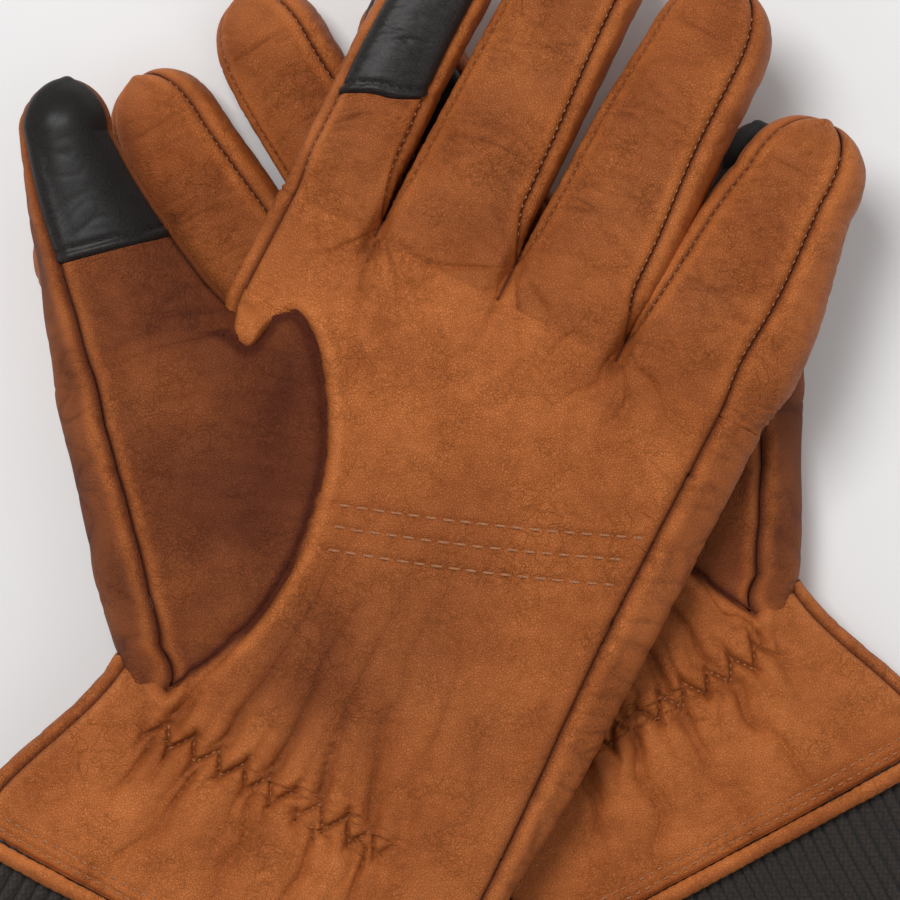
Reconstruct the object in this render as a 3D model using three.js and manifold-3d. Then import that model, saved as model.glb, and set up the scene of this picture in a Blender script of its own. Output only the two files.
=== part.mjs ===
// A pair of lined leather touchscreen gloves, lying crossed with both palms up.
// The right glove lies below and the left glove lies across it.
// Millimetres, +Z up. The origin is on the resting surface, under the middle of the pair.
//
// Each glove is described in a flat hand frame (u, v, z): u runs from the thumb side to the little
// finger, v from the cuff to the fingertips, z is height above the mid plane of the hand. A lay
// function then puts that frame where the glove lies.
import * as THREE from 'three';
import { mergeVertices } from 'three/addons/utils/BufferGeometryUtils.js';
import Module from 'manifold-3d';

const wasm = await Module();
wasm.setup();

// ---- driving dimensions, mm ----
const GAP = 0.3; // clearance between two pieces that are sewn edge to edge
const HINGE_GAP = 2.1; // clearance where the thumb bends away from its root
const LEATHER = 1.2; // leather thickness
const LINING = 1.6; // knitted lining thickness
const KNIT = 2.6; // rib-knit cuff thickness
const HALF_DEPTH = 11; // half the thickness of a filled glove
const SEAM_LEVEL = 6.4; // height of the side seams above the mid plane
const THUMB_SEAM_LEVEL = 8.6; // height of the seam that sets the thumb into the palm
const LINING_CLEARANCE = 2.2; // slack between leather and lining

const KNUCKLE = 34; // where the fingers leave the palm
const HEM = -112; // edge of the leather at the cuff
const WRIST = -77; // middle of the gathered wrist
const KNIT_LENGTH = 52; // knitted cuff, from its sewn end inside to its free end
const KNIT_OVERLAP = 16; // part of the knitted cuff that is inside the leather
const PALM_HALF_WIDTH = 54.6; // at the knuckles
const HEM_HALF_WIDTH = 54;
const VENT_START = -52; // top of the side vent at the cuff
const ELASTIC_LENGTH = 46;
const ELASTIC_WIDTH = 6;
const ELASTIC_THICKNESS = 0.7;
const BINDING = 3.2; // diameter of the rolled hem

const FINGERS = {
  index: { centre: -44.7, base: 10.2, tip: 10.2, end: 97.5, dome: 15, patch: 41 },
  middle: { centre: -19.8, base: 13.3, tip: 12.4, end: 113.5, dome: 17, patch: 0 },
  ring: { centre: 8, base: 12.8, tip: 12.2, end: 110, dome: 17, patch: 0 },
  little: { centre: 38, base: 16, tip: 11.3, end: 94, dome: 16, patch: 0 },
};
const THUMB_ROOT = { u: -59.8, v: -12.1 }; // middle of the line where the thumb comes free
const THUMB_FOOT = -71; // where the thumb's leather begins, above the wrist
const CUFF_TOP = -66; // where the cuff's flare has run out on the thumb side
const CUFF_SIDE_END = -74; // end of the cuff's side wall, below the thumb's foot
const INDEX_SIDE_START = 13; // beginning of the side wall between the thumb and the index finger
const THUMB = { base: 18.6, tip: 11.6, length: 58, dome: 17, patch: 35 };

// How each glove lies. A frame has an origin, a lean from +Y towards the thumb-free side and a scale.
const LEFT = {
  name: 'left',
  hand: 1,
  cuff: { x: 0, y: 0, lean: 27.4 },
  reach: { x: 0, y: 0, lean: 27.4 },
  scale: 1,
  midPlane: 3 * HALF_DEPTH + 0.8,
  sag: 9,
  thumbSpread: 47,
  jointedFingers: true,
};
const RIGHT = {
  name: 'right',
  hand: -1,
  cuff: { x: 7.9, y: 11.3, lean: -28.2 },
  reach: { x: -3.4, y: -8, lean: -31 },
  scale: 0.95,
  midPlane: HALF_DEPTH,
  sag: 0,
  thumbSpread: 31.2,
  jointedFingers: false,
};

const TAN = 0xa9602a;
const LEATHER_TAN = { color: TAN, roughness: 0.55, metalness: 0 };
const LEATHER_DARK = { color: 0x2b2220, roughness: 0.4, metalness: 0 };
const KNIT_BROWN = { color: 0x3a302d, roughness: 0.95, metalness: 0 };
const LINING_GREY = { color: 0x6f655c, roughness: 0.95, metalness: 0 };
const ELASTIC_CREAM = { color: 0xd8cfbf, roughness: 0.8, metalness: 0 };

// ---- small helpers ----
const clamp01 = (x) => Math.min(1, Math.max(0, x));
const smooth = (x) => clamp01(x) ** 2 * (3 - 2 * clamp01(x));
const mix = (a, b, t) => a + (b - a) * t;
const pair = new THREE.Group();

/** A smooth curve in the hand frame through hand-chosen points. */
const curve = (points) => new THREE.SplineCurve(points.map(([u, v]) => new THREE.Vector2(u, v)));

/** Adds one finished solid to the pair. */
function addPiece(name, geometry, finish) {
  const mesh = new THREE.Mesh(geometry, new THREE.MeshStandardMaterial(finish));
  mesh.name = name;
  pair.add(mesh);
}

/** Merges a closed geometry's shared corners, moves them all with `place` and faces it outwards. */
function reshape(source, place) {
  source.deleteAttribute('normal');
  source.deleteAttribute('uv');
  const geometry = mergeVertices(source, 1e-5);
  const position = geometry.getAttribute('position');
  for (let i = 0; i < position.count; i += 1) {
    const p = place(position.getX(i), position.getY(i), position.getZ(i));
    position.setXYZ(i, p.x, p.y, p.z);
  }
  if (signedVolume(geometry) < 0) {
    const index = geometry.getIndex();
    for (let i = 0; i < index.count; i += 3) {
      const first = index.getX(i);
      index.setX(i, index.getX(i + 1));
      index.setX(i + 1, first);
    }
  }
  geometry.computeVertexNormals();
  return geometry;
}

/** Volume of a closed mesh, negative when its faces point in. */
function signedVolume(geometry) {
  const position = geometry.getAttribute('position');
  const index = geometry.getIndex();
  const corner = [new THREE.Vector3(), new THREE.Vector3(), new THREE.Vector3()];
  let volume = 0;
  for (let i = 0; i < index.count; i += 3) {
    corner.forEach((c, k) => c.fromBufferAttribute(position, index.getX(i + k)));
    volume += corner[0].dot(corner[1].clone().cross(corner[2])) / 6;
  }
  return volume;
}

/** Joins solids that run into each other into one piece. */
function join(geometries) {
  const solids = geometries.map((geometry) => new wasm.Manifold(new wasm.Mesh({
    numProp: 3,
    vertProperties: new Float32Array(geometry.getAttribute('position').array),
    triVerts: new Uint32Array(geometry.getIndex().array),
  })));
  const mesh = solids.reduce((whole, solid) => whole.add(solid)).getMesh();
  const joined = new THREE.BufferGeometry();
  joined.setAttribute('position', new THREE.BufferAttribute(mesh.vertProperties, 3));
  joined.setIndex(new THREE.BufferAttribute(mesh.triVerts, 1));
  joined.computeVertexNormals();
  return joined;
}

/** A sheet-like solid: s runs across, t along, w through the thickness, each from 0 to 1. */
function sheet(across, along, place) {
  const box = new THREE.BoxGeometry(1, 1, 1, across, along, 1);
  return reshape(box, (x, y, z) => place(x + 0.5, y + 0.5, z + 0.5));
}

/** A sleeve open at both ends: angle runs round it, t along, w through the wall. */
function sleeve(around, along, place) {
  const profile = [];
  for (let i = 0; i <= along; i += 1) profile.push(new THREE.Vector2(2, i / along));
  for (let i = along; i >= 0; i -= 1) profile.push(new THREE.Vector2(1, i / along));
  profile.push(new THREE.Vector2(2, 0));
  const lathe = new THREE.LatheGeometry(profile, around);
  return reshape(lathe, (x, y, z) => place(Math.atan2(z, x), y, Math.hypot(x, z) - 1));
}

/** Where a point of the hand frame lies when the glove is put down; `along` places it on the lay. */
function layDown(glove, u, v, z, along = v) {
  const mirrored = glove.hand * u;
  const inFrame = (frame) => {
    const lean = THREE.MathUtils.degToRad(frame.lean);
    const x = frame.x + glove.scale * (mirrored * Math.cos(lean) + v * Math.sin(lean));
    const y = frame.y + glove.scale * (v * Math.cos(lean) - mirrored * Math.sin(lean));
    return new THREE.Vector3(x, y, 0);
  };
  const reach = smooth((along + 40) / 70);
  const point = inFrame(glove.cuff).lerp(inFrame(glove.reach), reach);
  const hang = smooth((-58 - v) / 95) * smooth((62 - u) / 100);
  point.z = glove.midPlane + z - glove.sag * hang;
  return point;
}

/** Full height of a leather panel: level in the middle, falling to the seam at its edges. */
const crown = (x) => Math.min(1, 1.7 * (1 - Math.abs(x) ** 2.6));

/** Height of a panel's face, from its seam level to the full depth; w = 0 inside, 1 outside. */
function panelHeight(rise, w, seam = SEAM_LEVEL) {
  const inner = seam + GAP + (HALF_DEPTH - LEATHER - seam - GAP) * clamp01(rise);
  return inner + w * LEATHER;
}

// ---- digits: fingers and thumb share one shape, in their own frame (x across, y along) ----

/** Half the width of a digit, before its rounded end. */
const digitHalfWidth = (digit, y) => mix(digit.base, digit.tip, y / (digit.length - digit.dome));

/** Outline of a digit from its base, round its end and back; p from 0 to 1, inset by `inset`. */
function digitOutline(digit, p, inset) {
  const straight = digit.length - digit.dome;
  if (p < 0.3 || p > 0.7) {
    const y = straight * (p < 0.3 ? p / 0.3 : (1 - p) / 0.3);
    const x = digitHalfWidth(digit, y) - inset;
    return { x: p < 0.3 ? -x : x, y };
  }
  const angle = Math.PI * (0.7 - p) / 0.4;
  return {
    x: (digit.tip - inset) * Math.cos(angle),
    y: straight + (digit.dome - inset) * Math.sin(angle),
  };
}

/** A panel of a digit between two distances from its base; side is +1 for palm, -1 for back. */
function digitPanel(digit, from, to, side, place) {
  const straight = digit.length - digit.dome;
  return sheet(4, 7, (s, t, w) => {
    const y = mix(from, to, 1 - (1 - t) ** 1.6);
    const past = Math.max(0, (y - straight) / digit.dome);
    const half = y < straight ? digitHalfWidth(digit, y) : digit.tip * Math.sqrt(1 - past ** 2);
    const x = 2 * s - 1;
    return place(x * half, y, side * panelHeight(crown(x) * crown(past), w));
  });
}

/** The side wall of a digit: one band up one side, round the end and down the other. */
function digitGusset(digit, place) {
  return sheet(22, 1, (s, t, w) => {
    const edge = digitOutline(digit, s, w * LEATHER);
    return place(edge.x, edge.y + (s === 0 || s === 1 ? GAP : 0), (2 * t - 1) * SEAM_LEVEL);
  });
}

/** The lining of a digit: a knitted thimble, open at the hand. */
function digitLining(digit, start, place) {
  const length = digit.length - LEATHER - LINING_CLEARANCE;
  const depth = HALF_DEPTH - LEATHER - LINING_CLEARANCE;
  const inner = 1 - LINING / depth;
  const profile = [];
  for (let i = 0; i <= 4; i += 1) {
    const angle = (i * Math.PI) / 8;
    const y = length - digit.dome * (1 - Math.cos(angle));
    profile.push(new THREE.Vector2(i === 0 ? 0 : Math.sin(angle), y));
  }
  profile.push(new THREE.Vector2(1, start), new THREE.Vector2(inner, start));
  for (let i = 4; i >= 0; i -= 1) {
    const angle = (i * Math.PI) / 8;
    const y = length - LINING - digit.dome * (1 - Math.cos(angle));
    profile.push(new THREE.Vector2(i === 0 ? 0 : inner * Math.sin(angle), y));
  }
  return reshape(new THREE.LatheGeometry(profile, 10), (x, y, z) => {
    const half = digitHalfWidth(digit, Math.min(y, digit.length - digit.dome));
    return place(x * (half - LEATHER - LINING_CLEARANCE), y, z * depth * 0.96);
  });
}

/** All the pieces of one digit; the leather begins at `start` from its root. */
function digitPieces(digit, start, liningStart, place) {
  const end = digit.length - 0.25;
  const split = digit.patch > 0 ? digit.length - digit.patch : end;
  const pieces = {
    front: digitPanel(digit, start, split, 1, place),
    back: digitPanel(digit, start, end, -1, place),
    gusset: digitGusset(digit, place),
    lining: digitLining(digit, liningStart, place),
  };
  if (digit.patch > 0) pieces.touch_tip = digitPanel(digit, split + GAP, end, 1, place);
  return pieces;
}

const DIGIT_FINISH = {
  front: LEATHER_TAN,
  back: LEATHER_TAN,
  gusset: LEATHER_TAN,
  lining: LINING_GREY,
  touch_tip: LEATHER_DARK,
};

/** Adds the pieces of a digit under its own name, leaving out those that are cut with the hand. */
function addDigit(id, pieces, cutWithHand = []) {
  Object.entries(pieces)
    .filter(([part]) => !cutWithHand.includes(part))
    .forEach(([part, geometry]) => addPiece(`${id}_${part}`, geometry, DIGIT_FINISH[part]));
}

/** How far the finger pieces run into the hand: a clearance back from it where they are jointed. */
const fingerRun = (glove) => (glove.jointedFingers ? -GAP : 3);

/** The pieces of the four fingers. */
function fingerPieces(glove) {
  const run = fingerRun(glove);
  return Object.entries(FINGERS).map(([name, finger]) => {
    const digit = { ...finger, length: finger.end - KNUCKLE };
    const place = (x, y, z) => layDown(glove, finger.centre + x, KNUCKLE + y, z);
    return { name, pieces: digitPieces(digit, -run, -2 * run, place) };
  });
}

/** The free part of the thumb, past the point where it leaves the hand. */
function buildThumb(glove) {
  const spread = THREE.MathUtils.degToRad(glove.thumbSpread);
  const place = (x, y, z) => layDown(
    glove,
    THUMB_ROOT.u + x * Math.cos(spread) - y * Math.sin(spread),
    THUMB_ROOT.v + x * Math.sin(spread) + y * Math.cos(spread),
    z,
    0,
  );
  addDigit(`${glove.name}_thumb`, digitPieces(THUMB, GAP, GAP, place));
}

// ---- the hand ----

/** The end of the thumb root, on its outer or inner side, where the free thumb begins. */
function thumbRootEdge(glove, side, back = 0) {
  const spread = THREE.MathUtils.degToRad(glove.thumbSpread);
  const x = side * THUMB.base;
  return [
    THUMB_ROOT.u + x * Math.cos(spread) + back * Math.sin(spread),
    THUMB_ROOT.v + x * Math.sin(spread) - back * Math.cos(spread),
  ];
}

/** Edges of the panels, as functions of v, on the thumb side (left) and little-finger side. */
const outerEdge = (v) => mix(HEM_HALF_WIDTH, PALM_HALF_WIDTH, smooth((v - WRIST) / 40))
  - 1.6 * Math.exp(-(((v - WRIST) / 16) ** 2));
const cuffInnerEdge = (v) => -mix(HEM_HALF_WIDTH - 1, 41, smooth((v - HEM) / 46));
const thumbSeam = (v) => -18 - 9 * ((v + 34) / 32) ** 2;

/** Thumb-side edge of the palm leather: it steps in round the thumb and out again. */
function palmInnerEdge(v) {
  const cuff = cuffInnerEdge(Math.min(v, CUFF_TOP));
  const belowThumb = mix(cuff, thumbSeam(Math.max(v, -64)), smooth((v - CUFF_SIDE_END) / 10));
  return mix(belowThumb, -PALM_HALF_WIDTH, smooth((v - 2) / 10));
}

/** Thumb-side edge of the back leather. */
function backInnerEdge(v) {
  const cuff = cuffInnerEdge(Math.min(v, CUFF_TOP));
  return mix(cuff, -PALM_HALF_WIDTH, smooth((v - 1) / 10));
}

/** A broad panel of the hand between two edges. */
function handPanel(glove, inner, outer, side, innerSeam) {
  return sheet(8, 16, (s, t, w) => {
    const v = mix(HEM, KNUCKLE - GAP, t);
    const u = mix(inner(v), outer(v), s);
    const seam = mix(innerSeam(v), SEAM_LEVEL, s);
    return layDown(glove, u, v, side * panelHeight(crown(2 * s - 1), w, seam));
  });
}

/** A wall along an edge of the hand from one v to another. */
function handWall(glove, edge, from, to, inward) {
  return sheet(1, 8, (s, t, w) => {
    const v = mix(from, to, t);
    return layDown(glove, edge(v) + inward * w * LEATHER, v, (2 * s - 1) * SEAM_LEVEL);
  });
}

/** The root of the thumb: the leather between the palm and where the thumb comes free. */
function buildThumbRoot(glove) {
  const outerEnd = thumbRootEdge(glove, -1, HINGE_GAP);
  const innerEnd = thumbRootEdge(glove, 1, HINGE_GAP);
  const clear = 4 * GAP;
  const outer = curve([
    [-43.5, THUMB_FOOT],
    [mix(-43.5, outerEnd[0], 0.5) - 3, mix(THUMB_FOOT, outerEnd[1], 0.5) - 3],
    outerEnd,
  ]);
  const front = curve([
    [-40.6, THUMB_FOOT],
    [palmInnerEdge(CUFF_TOP) - clear, CUFF_TOP],
    [palmInnerEdge(-56) - clear, -56],
    [palmInnerEdge(-34) - clear, -34],
    [palmInnerEdge(-14) - clear, -14],
    [palmInnerEdge(-2) - clear, -2],
    innerEnd,
  ]);
  const back = curve([
    [-42.4, THUMB_FOOT],
    [backInnerEdge(-50) - clear, -50],
    [backInnerEdge(-25) - clear, -25],
    innerEnd,
  ]);
  const leaf = (inner, side, seam) => sheet(5, 10, (s, t, w) => {
    const a = outer.getPoint(t);
    const b = inner.getPoint(t);
    const rise = crown(2 * s - 1) * smooth(5 * t + 0.1);
    const z = side * panelHeight(rise, w, mix(SEAM_LEVEL, seam, s));
    const v = mix(a.y, b.y, s);
    return layDown(glove, mix(a.x, b.x, s), v, z, mix(v, 0, t ** 3 * (1 - s ** 6)));
  });
  addPiece(`${glove.name}_thumb_root_front`, leaf(front, 1, THUMB_SEAM_LEVEL), LEATHER_TAN);
  addPiece(`${glove.name}_thumb_root_back`, leaf(back, -1, SEAM_LEVEL), LEATHER_TAN);
  const wall = sheet(1, 8, (s, t, w) => {
    const a = outer.getPoint(t);
    return layDown(glove, a.x + w * LEATHER, a.y, (2 * s - 1) * SEAM_LEVEL, mix(a.y, 0, t ** 3));
  });
  addPiece(`${glove.name}_thumb_root_side`, wall, LEATHER_TAN);
}

/** Half width of what is worn inside the leather, and its middle, at v. */
function insideSection(v) {
  const width = outerEdge(v) - backInnerEdge(v);
  return { centre: outerEdge(v) - width / 2, half: width / 2 - LEATHER - LINING_CLEARANCE };
}

/** A flattened sleeve inside the leather. */
function insideSleeve(glove, from, to, wall, depth, grow) {
  const round = (x) => Math.sign(x) * Math.abs(x) ** 0.7;
  return sleeve(20, 8, (angle, t, w) => {
    const v = mix(from, to, t);
    const section = insideSection(Math.max(v, HEM));
    const inset = (1 - w) * wall;
    const u = section.centre + (section.half + grow * t - inset) * round(Math.cos(angle));
    return layDown(glove, u, v, (depth - inset) * round(Math.sin(angle)));
  });
}

/** The rolled hem round the mouth of the leather. */
function hemBinding(glove) {
  const v = HEM - GAP - BINDING / 2;
  const section = new THREE.Vector2((outerEdge(HEM) - cuffInnerEdge(HEM)) / 2, HALF_DEPTH - BINDING / 2);
  const centre = (outerEdge(HEM) + cuffInnerEdge(HEM)) / 2;
  const torus = new THREE.TorusGeometry(3, 1, 8, 28);
  const round = (x) => Math.sign(x) * Math.abs(x) ** 0.6;
  return reshape(torus, (x, y, z) => {
    const angle = Math.atan2(y, x);
    const out = (Math.hypot(x, y) - 3) * BINDING / 2;
    const u = centre + (section.x - BINDING / 2 + out) * round(Math.cos(angle));
    return layDown(glove, u, v + z * BINDING / 2, (section.y + out) * round(Math.sin(angle)));
  });
}

/** One glove without its thumb: palm, back, fingers, side walls, linings and cuff. */
function buildHand(glove) {
  const id = glove.name;
  const plainSeam = () => SEAM_LEVEL;
  const palmSeam = (v) => mix(SEAM_LEVEL, THUMB_SEAM_LEVEL, smooth((v + 80) / 10) * smooth((16 - v) / 10));
  const indexSide = () => -PALM_HALF_WIDTH;
  const liningDepth = HALF_DEPTH - LEATHER - LINING_CLEARANCE;
  const knitStart = HEM + KNIT_OVERLAP;
  const liningEnd = KNUCKLE - Math.max(GAP, fingerRun(glove) + GAP);
  const hand = {
    front: handPanel(glove, palmInnerEdge, outerEdge, 1, palmSeam),
    back: handPanel(glove, backInnerEdge, outerEdge, -1, plainSeam),
    lining: insideSleeve(glove, knitStart + GAP, liningEnd, LINING, liningDepth, 0),
  };
  const fingers = fingerPieces(glove);
  const cutWithHand = glove.jointedFingers ? [] : Object.keys(hand);
  fingers.forEach(({ name, pieces }) => addDigit(`${id}_${name}`, pieces, cutWithHand));
  const withFingers = (part) => (
    cutWithHand.includes(part) ? join([hand[part], ...fingers.map(({ pieces }) => pieces[part])]) : hand[part]
  );
  addPiece(`${id}_palm`, withFingers('front'), LEATHER_TAN);
  addPiece(`${id}_hand_back`, withFingers('back'), LEATHER_TAN);
  addPiece(`${id}_hand_lining`, withFingers('lining'), LINING_GREY);
  addPiece(`${id}_index_side`, handWall(glove, indexSide, INDEX_SIDE_START, KNUCKLE - GAP, 1), LEATHER_TAN);
  addPiece(`${id}_outer_side`, handWall(glove, outerEdge, VENT_START + GAP, KNUCKLE - GAP, -1), LEATHER_TAN);
  addPiece(`${id}_vent_gusset`, handWall(glove, outerEdge, HEM, VENT_START, -1), LEATHER_TAN);
  addPiece(`${id}_cuff_side`, handWall(glove, cuffInnerEdge, HEM, CUFF_SIDE_END, 1), LEATHER_TAN);
  const knit = insideSleeve(glove, knitStart, knitStart - KNIT_LENGTH, KNIT, liningDepth, -6);
  addPiece(`${id}_knit_cuff`, knit, KNIT_BROWN);
  addPiece(`${id}_hem_binding`, hemBinding(glove), LEATHER_TAN);
  const strip = sheet(6, 1, (s, t, w) => {
    const z = liningDepth + 2 * GAP + w * ELASTIC_THICKNESS;
    return layDown(glove, (s - 0.5) * ELASTIC_LENGTH, WRIST + (t - 0.5) * ELASTIC_WIDTH, z);
  });
  addPiece(`${id}_wrist_elastic`, strip, ELASTIC_CREAM);
}

[RIGHT, LEFT].forEach((glove) => {
  buildHand(glove);
  buildThumbRoot(glove);
  buildThumb(glove);
});

// The origin is brought to the middle of the pair, on the surface it rests on.
const extent = new THREE.Box3().setFromObject(pair);
const middle = extent.getCenter(new THREE.Vector3());
pair.position.set(-middle.x, -middle.y, -extent.min.z);

export default pair;
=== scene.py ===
"""A pair of lined leather touchscreen gloves lying crossed, palms up.

Inside the classes lengths are millimetres in a glove's own hand frame: u runs from the thumb
side to the little finger, v from the cuff to the fingertips, and z up from the middle of the
hand. A Lay puts that frame where the glove lies and turns it into metres.
"""
import logging
import math
from dataclasses import dataclass, field
from enum import Enum
from typing import Callable

import bpy
import numpy as np
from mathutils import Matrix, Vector


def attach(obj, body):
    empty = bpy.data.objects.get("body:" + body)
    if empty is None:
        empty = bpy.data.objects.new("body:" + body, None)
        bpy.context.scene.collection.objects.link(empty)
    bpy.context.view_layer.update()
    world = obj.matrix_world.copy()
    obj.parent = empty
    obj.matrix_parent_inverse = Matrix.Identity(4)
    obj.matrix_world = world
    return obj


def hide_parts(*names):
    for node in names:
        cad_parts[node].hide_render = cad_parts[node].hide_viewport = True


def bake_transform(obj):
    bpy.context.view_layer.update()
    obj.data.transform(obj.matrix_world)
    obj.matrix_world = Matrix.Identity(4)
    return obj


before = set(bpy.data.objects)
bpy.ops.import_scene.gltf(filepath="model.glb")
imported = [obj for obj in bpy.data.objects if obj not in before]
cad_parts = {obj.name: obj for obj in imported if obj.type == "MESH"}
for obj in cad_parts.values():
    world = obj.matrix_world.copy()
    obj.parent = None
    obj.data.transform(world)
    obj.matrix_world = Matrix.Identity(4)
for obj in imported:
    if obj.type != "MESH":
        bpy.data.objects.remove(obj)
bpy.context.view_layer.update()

LOG = logging.getLogger("gloves")
Array = np.ndarray

SHIFT = (-2.013, 20.497)  # from the hand frames to the middle of the pair
DEPTH = 11.0  # half the thickness of a filled glove
HEM = -112.0  # edge of the leather at the cuff
WRIST = -77.0  # middle of the gathers
FINGER_START = 31.0  # the palm is cut from the fingers here, below every crotch
LEATHER = 1.1  # thickness of the leather
KNUCKLE = 34.0  # a finger's own section begins here
OUTER_ROOT = 31.5  # root of a finger on a side that has no crotch
SIDE_SEAM = 22.0  # angle of the seams along the hand's sides, in degrees
HEM_ROWS = (2.2, 4.5)  # the stitched rows' distances from the hem
ROW_BOW = 0.9  # how far the rows across the palm bow towards the cuff


class Finish(Enum):
    """The finishes of the pair, named as the record's material slots."""

    TAN = "tan_leather"
    TOUCH = "touch_leather"
    LINING = "lining_knit"
    CUFF = "cuff_knit"
    ELASTIC = "elastic"
    THREAD = "thread"


class Side(Enum):
    """The two faces of a hand."""

    PALM = 1
    BACK = -1


# ---- small helpers ----


def smooth(x: Array) -> Array:
    """A soft step from 0 to 1."""
    x = np.clip(x, 0.0, 1.0)
    return x * x * (3.0 - 2.0 * x)


def mix(a: Array, b: Array, t: Array) -> Array:
    """Between a and b by t."""
    return a + (b - a) * t


def hump(x: Array, width: float) -> Array:
    """A bell of height 1 at x = 0."""
    return np.exp(-((x / width) ** 2))


def spline(points: tuple[tuple[float, float], ...], t: Array) -> Array:
    """A smooth curve through points.

    Args:
        points: The points that the curve passes, one for each whole t.
        t: Where to read it, from 0 to the last point's number.

    Returns:
        The curve's points, one row for each t.
    """
    p = np.array(points, float)
    p = np.vstack([2 * p[0] - p[1], p, 2 * p[-1] - p[-2]])
    t = np.clip(np.asarray(t, float), 0.0, len(points) - 1.0)
    i = np.minimum(t.astype(int), len(points) - 2)
    f = (t - i)[..., None]
    a, b, c, d = p[i], p[i + 1], p[i + 2], p[i + 3]
    return 0.5 * (2 * b + (c - a) * f + (2 * a - 5 * b + 4 * c - d) * f**2 + (3 * b - a - 3 * c + d) * f**3)


def signed_power(x: Array, exponent: float) -> Array:
    """A power of x that keeps the sign of x."""
    return np.sign(x) * np.abs(x) ** exponent


def run_along(points: Array) -> Array:
    """Distance of each point of a line from its first, along the line."""
    return np.concatenate([[0], np.cumsum(np.linalg.norm(np.diff(points, axis=0), axis=1))])


def read_line(grid: Array, run: Array, where: float) -> Array:
    """A line's point or direction at a distance along it."""
    return np.array([np.interp(where, run, grid[:, c]) for c in range(3)])


def distance_to(path: Array, u: Array, v: Array) -> Array:
    """Distance in the hand's plane from every (u, v) to a path of points."""
    best = np.full(np.shape(u), 1e9)
    for a, b in zip(path[:-1], path[1:]):
        d = b - a
        t = np.clip(((u - a[0]) * d[0] + (v - a[1]) * d[1]) / max(d @ d, 1e-9), 0, 1)
        best = np.minimum(best, np.hypot(u - a[0] - t * d[0], v - a[1] - t * d[1]))
    return best


class Noise:
    """Smooth repeatable noise over a plane."""

    def __init__(self, seed: int) -> None:
        """Draws the noise's own grid of values from a seed."""
        self.grid = np.random.default_rng(seed).uniform(-1.0, 1.0, (128, 128))

    def at(self, x: Array, y: Array) -> Array:
        """One layer of noise, from -1 to 1."""
        i, j = np.floor(x).astype(int), np.floor(y).astype(int)
        fx, fy = smooth(x - i), smooth(y - j)
        g = self.grid
        low = mix(g[i % 128, j % 128], g[(i + 1) % 128, j % 128], fx)
        high = mix(g[i % 128, (j + 1) % 128], g[(i + 1) % 128, (j + 1) % 128], fx)
        return mix(low, high, fy)

    def creases(self, x: Array, y: Array, sharp: float = 6.0) -> Array:
        """Thin wandering valleys, 0 on the flat and -1 at the bottom."""
        bend = 0.6 * self.at(0.7 * x + 31, 0.7 * y + 5)
        return -np.exp(-sharp * np.abs(self.at(x + bend, y + bend)))


# ---- where each glove lies ----


@dataclass(frozen=True)
class Lay:
    """How one glove is put down.

    Attributes:
        name: The glove's name, which its pieces' names begin with.
        hand: 1 for the left glove and -1 for the right.
        cuff: Place and lean of the hand frame at the cuff.
        reach: Place and lean of the hand frame at the fingers.
        scale: Size of the glove against its pattern.
        mid_plane: Height of the middle of the hand.
        sag: How far the free cuff sinks.
        seed: Start of the glove's own wrinkles.
    """

    name: str
    hand: int
    cuff: tuple[float, float, float]
    reach: tuple[float, float, float]
    scale: float
    mid_plane: float
    sag: float
    seed: int

    @property
    def body(self) -> str:
        """The CAD body that the whole glove rides on."""
        return f"{self.name}_glove"

    def _at(self, spot: tuple[float, float, float], u: Array, v: Array) -> tuple[Array, Array]:
        """A hand-frame point carried by one place and lean."""
        lean = math.radians(spot[2])
        x = spot[0] + self.scale * (u * math.cos(lean) + v * math.sin(lean))
        y = spot[1] + self.scale * (v * math.cos(lean) - u * math.sin(lean))
        return x, y

    def place(self, points: Array, along: Array | None = None) -> Array:
        """Where hand-frame points lie.

        Args:
            points: Points in millimetres, (u, v, z) in the last axis.
            along: The v that decides how far the points follow the fingers' lean.

        Returns:
            The points in the object's frame, in metres.
        """
        u, v, z = points[..., 0], points[..., 1], points[..., 2]
        reach = smooth(((v if along is None else along) + 40) / 70)
        x0, y0 = self._at(self.cuff, self.hand * u, v)
        x1, y1 = self._at(self.reach, self.hand * u, v)
        hang = smooth((-58 - v) / 95) * smooth((62 - u) / 100)
        x = mix(x0, x1, reach) + SHIFT[0]
        y = mix(y0, y1, reach) + SHIFT[1]
        return np.stack([x, y, self.mid_plane + z - self.sag * hang], -1) / 1000.0

    def place_facing(self, points: Array, normals: Array, along: Array | None) -> tuple[Array, Array]:
        """Where hand-frame points lie, and what their outward directions turn to there."""
        placed = self.place(points, along)
        facing = self.place(points + 0.05 * normals, along) - placed
        return placed, facing / np.maximum(np.linalg.norm(facing, axis=-1, keepdims=True), 1e-12)

    def metres(self, u: float, v: float, z: float, along: float | None = None) -> tuple[float, float, float]:
        """One hand-frame point in the object's frame."""
        place = self.place(np.array([[u, v, z]]), None if along is None else np.array([along]))
        return tuple(float(c) for c in place[0])


LEFT = Lay("left", 1, (0, 0, 27.4), (0, 0, 27.4), 1.0, 33.8, 9.0, 11)
RIGHT = Lay("right", -1, (7.9, 11.3, -28.2), (-3.4, -8.0, -31.0), 0.95, 11.0, 0.0, 47)


# ---- sheets of leather and knit ----


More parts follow.
